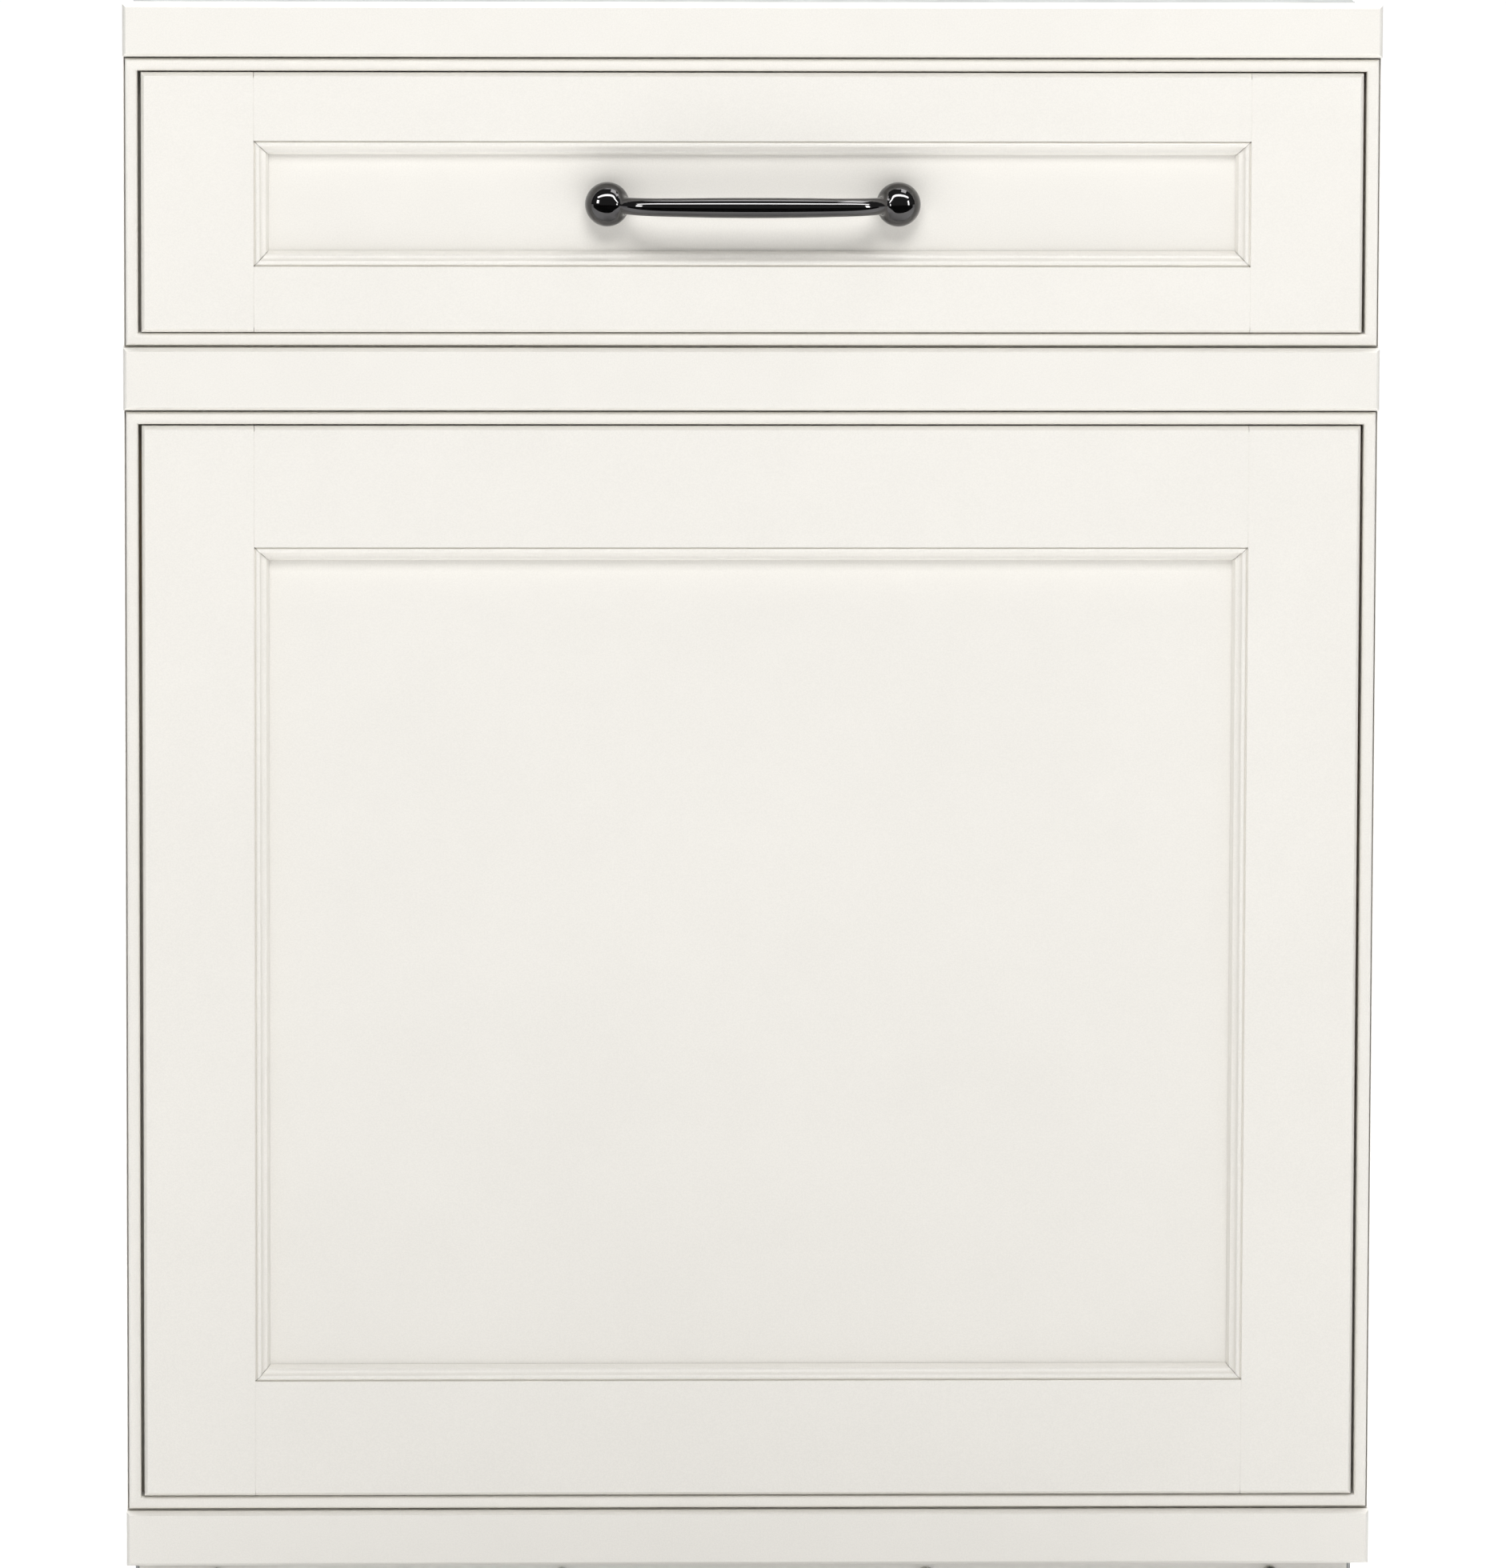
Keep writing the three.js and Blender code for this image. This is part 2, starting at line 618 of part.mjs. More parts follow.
// The cabinet member stands on the deck: a foot and a tall web carry the channel.
function cabinetMember() {
  const outer = SLIDE_WEB_X;
  const inner = outer - SHEET;
  const low = slideMiddle - 22.5;
  const high = slideMiddle + 22.5;
  const lip = outer - 11;
  const foot = DECK_TOP + FIT_GAP;
  const full = lengthAlongY([
    [outer - 13, foot],
    [outer, foot],
    [outer, high],
    [lip, high],
    [lip, high - SHEET],
    [inner, high - SHEET],
    [inner, low + SHEET],
    [lip, low + SHEET],
    [lip, low],
    [inner, low],
    [inner, foot + SHEET],
    [outer - 13, foot + SHEET],
  ], ySlide, ySlideBack);
  return cut(full, block(outer - 20, outer + 5, ySlide - 5, Y_INSIDE_TOE, foot - 5, low));
}

function middleMember() {
  const x0 = SLIDE_WEB_X - 10.5;
  const x1 = SLIDE_WEB_X - 2.5;
  const web = SLIDE_WEB_X - 6.5;
  const low = slideMiddle - 19.5;
  const high = slideMiddle + 19.5;
  return lengthAlongY([
    [x0, low],
    [x1, low],
    [x1, low + SHEET],
    [web + SHEET, low + SHEET],
    [web + SHEET, high - SHEET],
    [x1, high - SHEET],
    [x1, high],
    [x0, high],
    [x0, high - SHEET],
    [web, high - SHEET],
    [web, low + SHEET],
    [x0, low + SHEET],
  ], ySlide, ySlideBack);
}

function drawerMember() {
  const x = CARRIAGE_HALF_WIDTH + FIT_GAP;
  return lengthAlongY(channelSection(x, x + 6.2, 15), ySlide, ySlideBack);
}

[
  ["slide_cabinet", cabinetMember()],
  ["slide_middle", middleMember()],
  ["slide_drawer", drawerMember()],
].forEach(([name, geometry]) => {
  add(`${name}_right`, geometry, steel);
  add(`${name}_left`, mirrored(geometry), steel);
});

// ---- the cabinet ----
const sideInner = CABINET_WIDTH / 2 - SHEET;
const span = sideInner - FIT_GAP;
const lidBottom = CABINET_TOP - SHEET;
const sideTop = lidBottom - FIT_GAP;

function cabinetSide() {
  const panel = sheetAcrossX([
    [Y_TOE, PAN_BOTTOM],
    [Y_BACK, PAN_BOTTOM],
    [Y_BACK, sideTop],
    [Y_CABINET, sideTop],
    [Y_CABINET, TOE_HEIGHT],
    [Y_TOE, TOE_HEIGHT],
  ], sideInner, CABINET_WIDTH / 2);
  const lip = block(
    CABINET_WIDTH / 2 - FLANGE,
    CABINET_WIDTH / 2,
    Y_CABINET,
    Y_CABINET + SHEET,
    TOE_HEIGHT,
    sideTop,
  );
  return join(panel, lip);
}

add("cabinet_side_right", cabinetSide(), paint);
add("cabinet_side_left", mirrored(cabinetSide()), paint);

const backBottom = PAN_BOTTOM + SHEET + FIT_GAP;
const glandX = -200;
const glandHeight = 150;

function cabinetBack() {
  const sheet = block(-span, span, Y_BACK - SHEET, Y_BACK, backBottom, sideTop);
  const slotHalf = 60;
  const slotPitch = 16;
  const slots = [];
  for (let row = 0; row < 8; row += 1) {
    const z = 190 + slotPitch * row;
    slots.push(block(-slotHalf, slotHalf, Y_BACK - 5, Y_BACK + 5, z, z + 6));
  }
  return cut(sheet, ...slots, rod(10.5, glandX, glandHeight, Y_BACK - 5, Y_BACK + 5));
}

add("cabinet_back", cabinetBack(), steel);
const lidHalf = CABINET_WIDTH / 2;
add("cabinet_top", block(-lidHalf, lidHalf, Y_CABINET, Y_BACK, lidBottom, CABINET_TOP), paint);

const footX = 265;
const footInset = 28;
const footPlaces = [
  ["front_left", -footX, Y_TOE + footInset],
  ["front_right", footX, Y_TOE + footInset],
  ["rear_left", -footX, Y_BACK - footInset],
  ["rear_right", footX, Y_BACK - footInset],
];
const yInsideBack = Y_BACK - SHEET - FIT_GAP;
const stemRadius = 5;

function basePan() {
  const wallTop = 70;
  const floor = block(-span, span, Y_INSIDE_TOE, Y_BACK, PAN_BOTTOM, PAN_BOTTOM + SHEET);
  const walls = [-1, 1].map((side) => {
    const x0 = Math.min(side * span, side * (span - SHEET));
    return block(x0, x0 + SHEET, Y_INSIDE_TOE, yInsideBack, PAN_BOTTOM, wallTop);
  });
  const holes = footPlaces.map(([, x, y]) => pillar(stemRadius + 0.6, x, y, PAN_BOTTOM - 5, PAN_BOTTOM + 5));
  return cut(join(floor, ...walls), ...holes);
}

add("base_pan", basePan(), steel);

const deckBottom = DECK_TOP - DECK_THICKNESS;
const driveShaftRadius = 6;
const screwPlaces = [["left", -SCREW_X], ["right", SCREW_X]];

function baseDeck() {
  const plate = block(-span, span, Y_INSIDE_TOE, yInsideBack, deckBottom, DECK_TOP);
  const lip = block(-span, span, Y_INSIDE_TOE, Y_INSIDE_TOE + SHEET, deckBottom - 14, DECK_TOP);
  const hole = (x, y, radius) => pillar(radius, x, y, deckBottom - 5, DECK_TOP + 5);
  const holes = screwPlaces.map(([, x]) => hole(x, Y_SCREW, SCREW_RADIUS + 1));
  const shaftHole = hole(0, Y_DRIVE, driveShaftRadius + 1);
  return cut(join(plate, lip), ...holes, shaftHole);
}

add("base_deck", baseDeck(), steel);
const kickBottom = 14;
const kick = block(-span, span, Y_TOE, Y_TOE + SHEET, kickBottom, CARRIAGE_BOTTOM - 1);
const kickLip = block(-span, span, Y_TOE, Y_TOE + 8, kickBottom, kickBottom + SHEET);
add("toe_kick", join(kick, kickLip), white);

// A levelling foot: pad, hexagon and threaded stem. Screwed right in at rest.
function addFoot(place, x, y) {
  const pad = turned([[0, 0], [19, 0], [FOOT_RADIUS, 1], [FOOT_RADIUS, 6], [13, 9], [0, 9]], x, y);
  const nut = pillar(9.5, x, y, 8, 17, 6);
  const stem = pillar(stemRadius, x, y, 16, 52, 16);
  add(`foot_${place}`, join(pad, nut, stem), darkSteel);
}

footPlaces.forEach(([place, x, y]) => addFoot(place, x, y));

const gland = turned([
  [5, -12],
  [9.8, -12],
  [9.8, FIT_GAP],
  [14, FIT_GAP],
  [14, 3],
  [8, GLAND_PROJECTION],
  [5, GLAND_PROJECTION],
  [5, -12],
], 0, 0, 24);
gland.rotateX(-Math.PI / 2).translate(glandX, Y_BACK, glandHeight);
add("cord_gland", gland, plastic);

const switchX = -290;
const switchBottom = 690;
const switchBody = block(
  switchX,
  switchX + 24,
  Y_CABINET + SHEET + FIT_GAP,
  Y_CABINET + 24,
  switchBottom,
  switchBottom + 32,
);
add("drawer_switch", switchBody, plastic);

// ---- the ram and its drive ----
const beamTop = 845;
const beamHalf = 30;
const beamSheet = 3;

function topBeam() {
  const web = block(-span, span, Y_SCREW - beamHalf, Y_SCREW + beamHalf, beamTop - beamSheet, beamTop);
  const flanges = [-1, 1].map((side) => {
    const y0 = Y_SCREW + Math.min(side * beamHalf, side * (beamHalf - beamSheet));
    return block(-span, span, y0, y0 + beamSheet, beamTop - 30, beamTop);
  });
  const holes = screwPlaces.map(([, x]) => {
    const radius = JOURNAL_RADIUS + 0.6;
    return pillar(radius, x, Y_SCREW, beamTop - 10, beamTop + 5);
  });
  return cut(join(web, ...flanges), ...holes);
}

add("top_beam", topBeam(), darkSteel);

const journalTop = beamTop + 7;
const threadTop = CROSSHEAD_BOTTOM + CROSSHEAD_HEIGHT + 1;
const threadBottom = SPROCKET_BOTTOM + SPROCKET_HEIGHT + 2.5;
const journalBottom = SPROCKET_BOTTOM - 8;
const bearingBottom = threadBottom + FIT_GAP;
const bearingBore = SCREW_RADIUS + 0.4;

function addSprocket(name, x, y, pitchRadius, bore) {
  const rim = pitchRadius - 4;
  const hub = bore + 3;
  const top = SPROCKET_BOTTOM + SPROCKET_HEIGHT;
  const profile = [
    [bore, SPROCKET_BOTTOM - 3],
    [hub, SPROCKET_BOTTOM - 3],
    [hub, SPROCKET_BOTTOM],
    [rim, SPROCKET_BOTTOM],
    [rim, top],
    [bore, top],
    [bore, SPROCKET_BOTTOM - 3],
  ];
  add(name, turned(profile, x, y, 36), darkSteel);
}

screwPlaces.forEach(([side, x]) => {
  add(`power_screw_${side}`, turned([
    [0, journalBottom],
    [JOURNAL_RADIUS, journalBottom],
    [JOURNAL_RADIUS, threadBottom],
    [SCREW_RADIUS, threadBottom],
    [SCREW_RADIUS, threadTop],
    [JOURNAL_RADIUS, threadTop],
    [JOURNAL_RADIUS, journalTop],
    [0, journalTop],
  ], x, Y_SCREW), steel);
  addSprocket(`screw_sprocket_${side}`, x, Y_SCREW, SCREW_PITCH_RADIUS, JOURNAL_RADIUS + FIT_GAP);
  add(`thrust_bearing_${side}`, turned([
    [bearingBore, bearingBottom],
    [20, bearingBottom],
    [24, deckBottom - 4],
    [24, deckBottom - FIT_GAP],
    [bearingBore, deckBottom - FIT_GAP],
    [bearingBore, bearingBottom],
  ], x, Y_SCREW), bronze);
});

// The drive sprocket and its shaft are one piece, hung from the gearbox through the deck.
const driveShaft = pillar(driveShaftRadius, 0, Y_DRIVE, journalBottom, DECK_TOP - 0.1, 24);
const drivePitch = DRIVE_PITCH_RADIUS - 4;
const driveDisc = pillar(drivePitch, 0, Y_DRIVE, SPROCKET_BOTTOM, SPROCKET_BOTTOM + SPROCKET_HEIGHT);
add("drive_sprocket", join(driveShaft, driveDisc), darkSteel);

// The outside line of a chain round three wheels, listed anticlockwise and grown by a margin.
function chainLine(line, wheels, margin) {
  wheels.forEach((wheel, i) => {
    const before = wheels[(i + wheels.length - 1) % wheels.length];
    const after = wheels[(i + 1) % wheels.length];
    const start = tangentAngle(before, wheel);
    const end = tangentAngle(wheel, after);
    line.absarc(wheel.x, wheel.y, wheel.radius + margin, start, end, false);
  });
  line.closePath();
  return line;
}

function tangentAngle(from, to) {
  const length = Math.hypot(to.x - from.x, to.y - from.y);
  const heading = Math.atan2(to.y - from.y, to.x - from.x);
  return heading - Math.PI / 2 + Math.asin((from.radius - to.radius) / length);
}

const wheels = [
  { x: -SCREW_X, y: Y_SCREW, radius: SCREW_PITCH_RADIUS },
  { x: SCREW_X, y: Y_SCREW, radius: SCREW_PITCH_RADIUS },
  { x: 0, y: Y_DRIVE, radius: DRIVE_PITCH_RADIUS },
];
const chainShape = chainLine(new THREE.Shape(), wheels, 3.5);
chainShape.holes.push(chainLine(new THREE.Path(), wheels, -3.5));
const chain = new THREE.ExtrudeGeometry(chainShape, { depth: 6, bevelEnabled: false, curveSegments: 14 });
add("drive_chain", chain.translate(0, 0, SPROCKET_BOTTOM + 1), darkSteel);

const gearboxTop = DECK_TOP + 51;
const gearboxWide = 52;
const gearboxDeep = 54;
const motorRadius = 60;
const gearbox = block(
  -gearboxWide,
  gearboxWide,
  Y_DRIVE - gearboxDeep,
  Y_DRIVE + gearboxDeep,
  DECK_TOP + FIT_GAP,
  gearboxTop,
);
add("gearbox", gearbox, darkSteel);
add("drive_motor", turned([
  [0, gearboxTop + FIT_GAP],
  [46, gearboxTop + FIT_GAP],
  [motorRadius - 2, gearboxTop + 22],
  [motorRadius, gearboxTop + 24],
  [motorRadius, gearboxTop + 126],
  [motorRadius - 2, gearboxTop + 128],
  [40, gearboxTop + 150],
  [14, gearboxTop + 154],
  [0, gearboxTop + 154],
], 0, Y_DRIVE, 40), darkSteel);

// The ram: a flat pan hung from a crosshead that rides the two screws.
function ramPan() {
  const rim = 25;
  const wall = 3;
  const y0 = Y_SCREW - RAM_LENGTH / 2;
  const y1 = Y_SCREW + RAM_LENGTH / 2;
  const full = block(-RAM_HALF_WIDTH, RAM_HALF_WIDTH, y0, y1, RAM_BOTTOM, RAM_BOTTOM + rim);
  const pocket = block(
    -RAM_HALF_WIDTH + wall,
    RAM_HALF_WIDTH - wall,
    y0 + wall,
    y1 - wall,
    RAM_BOTTOM + wall,
    RAM_BOTTOM + rim + 1,
  );
  return cut(full, pocket);
}

add("ram_pan", ramPan(), steel);

function crosshead() {
  const top = CROSSHEAD_BOTTOM + CROSSHEAD_HEIGHT;
  const reach = SCREW_X + 20;
  const wide = 120;
  const deep = 65;
  const wall = 3;
  const foot = RAM_BOTTOM + wall + FIT_GAP;
  const y0 = Y_SCREW - deep;
  const y1 = Y_SCREW + deep;
  const beam = block(-reach, reach, Y_SCREW - 22, Y_SCREW + 22, CROSSHEAD_BOTTOM, top);
  const column = block(-wide, wide, y0, y1, foot, CROSSHEAD_BOTTOM + 4);
  const hollow = block(-wide + wall, wide - wall, y0 + wall, y1 - wall, RAM_BOTTOM, CROSSHEAD_BOTTOM);
  const nuts = screwPlaces.map(([, x]) => {
    const radius = SCREW_RADIUS + 0.8;
    return pillar(radius, x, Y_SCREW, CROSSHEAD_BOTTOM - 9, top + 9);
  });
  return cut(join(beam, cut(column, hollow)), ...nuts);
}

add("ram_crosshead", crosshead(), darkSteel);

export default compactor;
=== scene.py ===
# A built-in trash compactor behind a painted cabinet face, in metres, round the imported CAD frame.
import json
import math

import bmesh
import bpy
from mathutils import Matrix, Vector


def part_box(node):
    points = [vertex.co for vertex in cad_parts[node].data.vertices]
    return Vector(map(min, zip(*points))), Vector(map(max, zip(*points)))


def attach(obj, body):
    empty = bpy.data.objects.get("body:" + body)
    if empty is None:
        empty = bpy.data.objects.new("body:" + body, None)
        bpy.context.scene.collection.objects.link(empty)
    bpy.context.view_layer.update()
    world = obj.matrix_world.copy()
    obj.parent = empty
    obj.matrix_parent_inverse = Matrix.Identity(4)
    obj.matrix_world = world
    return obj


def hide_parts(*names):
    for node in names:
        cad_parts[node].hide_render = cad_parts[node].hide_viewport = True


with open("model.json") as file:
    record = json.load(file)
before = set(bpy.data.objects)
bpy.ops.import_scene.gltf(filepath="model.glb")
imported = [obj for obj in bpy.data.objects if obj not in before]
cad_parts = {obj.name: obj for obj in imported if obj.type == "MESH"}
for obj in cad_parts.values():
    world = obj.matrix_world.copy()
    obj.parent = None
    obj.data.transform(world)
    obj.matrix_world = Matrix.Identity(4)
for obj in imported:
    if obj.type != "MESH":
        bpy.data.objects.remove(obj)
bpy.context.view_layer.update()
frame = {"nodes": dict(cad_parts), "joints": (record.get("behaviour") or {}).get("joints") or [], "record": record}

NODES = frame["nodes"]
SLOT_OF = {part["node"]: part["material_slot"] for part in frame["record"]["subparts"]}
BODY_OF = {node: body for body, members in frame["record"]["behaviour"]["bodies"].items() for node in members}

# ---------------------------------------------------------------- materials


class Look:
    """One procedural material, with short helpers for its nodes."""

    def __init__(self, name, color, roughness, metallic=0.0):
        self.material = bpy.data.materials.new(name)
        self.material.use_nodes = True
        self.tree = self.material.node_tree
        self.shader = self.tree.nodes["Principled BSDF"]
        self.set("Base Color", (*color, 1.0))
        self.set("Roughness", roughness)
        self.set("Metallic", metallic)
        coordinates = self.tree.nodes.new("ShaderNodeTexCoord")
        self.place = coordinates.outputs["Object"]
        self.height = None

    def set(self, socket, value):
        self.shader.inputs[socket].default_value = value

    def link(self, source, target):
        self.tree.links.new(source, target)

    def stretch(self, scale):
        mapping = self.tree.nodes.new("ShaderNodeMapping")
        mapping.inputs["Scale"].default_value = scale
        self.link(self.place, mapping.inputs["Vector"])
        return mapping.outputs["Vector"]

    def noise(self, scale, detail=3.0, stretch=(1, 1, 1), rough=0.55):
        node = self.tree.nodes.new("ShaderNodeTexNoise")
        node.inputs["Scale"].default_value = scale
        node.inputs["Detail"].default_value = detail
        node.inputs["Roughness"].default_value = rough
        self.link(self.stretch(stretch), node.inputs["Vector"])
        return node.outputs["Fac"]

    def cells(self, scale, stretch=(1, 1, 1)):
        node = self.tree.nodes.new("ShaderNodeTexVoronoi")
        node.inputs["Scale"].default_value = scale
        self.link(self.stretch(stretch), node.inputs["Vector"])
        return node.outputs["Color"]

    def ramp(self, source, low, high, start=0.35, end=0.65):
        node = self.tree.nodes.new("ShaderNodeMapRange")
        node.inputs["From Min"].default_value = start
        node.inputs["From Max"].default_value = end
        node.inputs["To Min"].default_value = low
        node.inputs["To Max"].default_value = high
        self.link(source, node.inputs["Value"])
        return node.outputs["Result"]

    def mix(self, factor, first, second):
        node = self.tree.nodes.new("ShaderNodeMix")
        node.data_type = "RGBA"
        self.link(factor, node.inputs["Factor"])
        for socket, value in (("A", first), ("B", second)):
            target = [i for i in node.inputs if i.name == socket and i.type == "RGBA"][0]
            if isinstance(value, tuple):
                target.default_value = (*value, 1.0)
            else:
                self.link(value, target)
        return [o for o in node.outputs if o.type == "RGBA"][0]

    def color(self, source):
        self.link(source, self.shader.inputs["Base Color"])

    def roughness(self, source):
        self.link(source, self.shader.inputs["Roughness"])

    def bump(self, source, depth, strength=1.0):
        """Adds a layer of relief, depth in metres."""
        node = self.tree.nodes.new("ShaderNodeBump")
        node.inputs["Strength"].default_value = strength
        node.inputs["Distance"].default_value = depth
        self.link(source, node.inputs["Height"])
        if self.height is not None:
            self.link(self.height, node.inputs["Normal"])
        self.height = node.outputs["Normal"]
        self.link(self.height, self.shader.inputs["Normal"])


def enamel(name, color, roughness=0.36, peel=0.00002, tint=0.02, grain=0.0):
    """Sprayed paint: fine orange peel, a slow waviness and a slight change of tone."""
    look = Look(name, color, roughness)
    dark = tuple(c * (1 - tint) for c in color)
    tone = look.mix(look.ramp(look.noise(9, 4), 0, 1), dark, color)
    if grain:
        tone = look.mix(look.ramp(look.noise(1300, 2), 0, grain), tone, (0.5, 0.49, 0.46))
    look.color(tone)
    look.roughness(look.ramp(look.noise(60, 3), roughness - 0.04, roughness + 0.06))
    look.bump(look.noise(900, 2), peel)
    look.bump(look.noise(120, 2), peel * 2)
    look.set("Coat Weight", 0.12)
    look.set("Coat Roughness", 0.25)
    return look


def sheet_steel(name, color, roughness=0.4, grain=(1, 1, 1), spangle=0.0):
    """Bare or zinc-plated sheet: a rolled grain, faint scratches and, on zinc, its spangle."""
    look = Look(name, color, roughness, 1.0)
    dark = tuple(c * 0.86 for c in color)
    if spangle:
        patch = look.cells(70)
        look.color(look.mix(look.ramp(patch, 0, spangle, 0.2, 0.8), color, dark))
        look.roughness(look.ramp(patch, roughness - 0.06, roughness + 0.08, 0.2, 0.8))
    else:
        fine = look.noise(220, 4, grain)
        look.color(look.mix(look.ramp(fine, 0, 1, 0.3, 0.7), dark, color))
        look.roughness(look.ramp(fine, roughness - 0.07, roughness + 0.08, 0.3, 0.7))
    look.bump(look.noise(500, 3, grain), 0.000012)
    look.bump(look.noise(24, 2), 0.00008, 0.4)
    return look


def moulded(name, color, roughness=0.5):
    """Moulded plastic with a fine spark-eroded grain."""
    look = Look(name, color, roughness)
    light = tuple(min(1.0, c * 1.25 + 0.004) for c in color)
    look.color(look.mix(look.ramp(look.noise(40, 3), 0, 1), color, light))
    look.roughness(look.ramp(look.noise(300, 2), roughness - 0.05, roughness + 0.08))
    look.bump(look.noise(1600, 2), 0.00002)
    return look


def cast(name, color, roughness=0.55, metallic=0.8):
    """A sand or die casting, with coarse and fine pits."""
    look = Look(name, color, roughness, metallic)
    dark = tuple(c * 0.7 for c in color)
    look.color(look.mix(look.ramp(look.noise(90, 5), 0, 1, 0.3, 0.7), dark, color))
    look.roughness(look.ramp(look.noise(250, 3), roughness - 0.08, roughness + 0.1))
    look.bump(look.noise(450, 4), 0.00008)
    return look


def oily(name, color, roughness=0.3):
    """Machined steel under a film of oil or grease."""
    look = Look(name, color, roughness, 1.0)
    warm = (color[0] * 0.55, color[1] * 0.48, color[2] * 0.36)
    film = look.noise(35, 5)
    look.color(look.mix(look.ramp(film, 0, 0.8, 0.42, 0.7), color, warm))
    look.roughness(look.ramp(film, roughness - 0.08, roughness + 0.2))
    look.bump(look.noise(700, 3), 0.00001)
    return look


def black_nickel(name):
    """Polished black nickel: near-black mirror with a trace of polishing haze."""
    look = Look(name, (0.09, 0.088, 0.089), 0.05, 1.0)
    look.roughness(look.ramp(look.noise(80, 3), 0.035, 0.075))
    look.color(look.mix(look.ramp(look.noise(25, 2), 0, 1), (0.086, 0.084, 0.085), (0.094, 0.092, 0.092)))
    return look


def plywood(name, color):
    """Painted ply: its layers show as fine lines along the cut edges only."""
    look = Look(name, color, 0.55)
    layers = look.noise(420, 1, (0.01, 1, 0.01))
    look.color(look.mix(look.ramp(layers, 0, 1, 0.42, 0.58), (0.5, 0.4, 0.27), color))
    look.bump(layers, 0.0001)
    look.bump(look.noise(700, 3), 0.00003)
    return look


FACE_PAINT = (0.882, 0.857, 0.804)
LOOKS = {
    "face_paint": enamel("face_paint", FACE_PAINT, 0.42, 0.000016, 0.018, 0.1),
    "backing_board": plywood("backing_board", (0.74, 0.7, 0.62)),
    "pull_metal": black_nickel("pull_metal"),
    "zinc_fastener": sheet_steel("zinc_fastener", (0.72, 0.71, 0.66), 0.3),
    "enamelled_sheet": enamel("enamelled_sheet", (0.42, 0.43, 0.43), 0.4, 0.00003, 0.03),
    "galvanised_sheet": sheet_steel("galvanised_sheet", (0.62, 0.64, 0.66), 0.42, spangle=0.9),
    "toe_kick_paint": enamel("toe_kick_paint", FACE_PAINT, 0.42, 0.00003, 0.02),
    "slide_zinc": sheet_steel("slide_zinc", (0.66, 0.67, 0.68), 0.3, (1, 0.03, 1)),
    "console_plastic": moulded("console_plastic", (0.022, 0.023, 0.025), 0.45),
    "black_plastic": moulded("black_plastic", (0.014, 0.014, 0.015), 0.4),
    "button_green": moulded("button_green", (0.045, 0.2, 0.09), 0.35),
    "button_red": moulded("button_red", (0.42, 0.025, 0.015), 0.35),
    "key_metal": sheet_steel("key_metal", (0.74, 0.74, 0.75), 0.18),
    "foot_metal": sheet_steel("foot_metal", (0.3, 0.3, 0.31), 0.35),
    "frame_paint": enamel("frame_paint", (0.035, 0.037, 0.041), 0.42, 0.00005, 0.15),
    "ram_steel": sheet_steel("ram_steel", (0.58, 0.59, 0.6), 0.34, (0.03, 1, 1)),
    "screw_steel": oily("screw_steel", (0.56, 0.55, 0.52), 0.25),
    "oiled_steel": oily("oiled_steel", (0.22, 0.21, 0.195), 0.32),
    "bearing_bronze": oily("bearing_bronze", (0.6, 0.4, 0.2), 0.28),
    "gearbox_cast": cast("gearbox_cast", (0.5, 0.51, 0.52)),
    "motor_paint": enamel("motor_paint", (0.03, 0.032, 0.035), 0.35, 0.00006, 0.2),
}


# ---------------------------------------------------------------- pieces


MM = 0.001
PAINTED_EDGE = 0.1 * MM


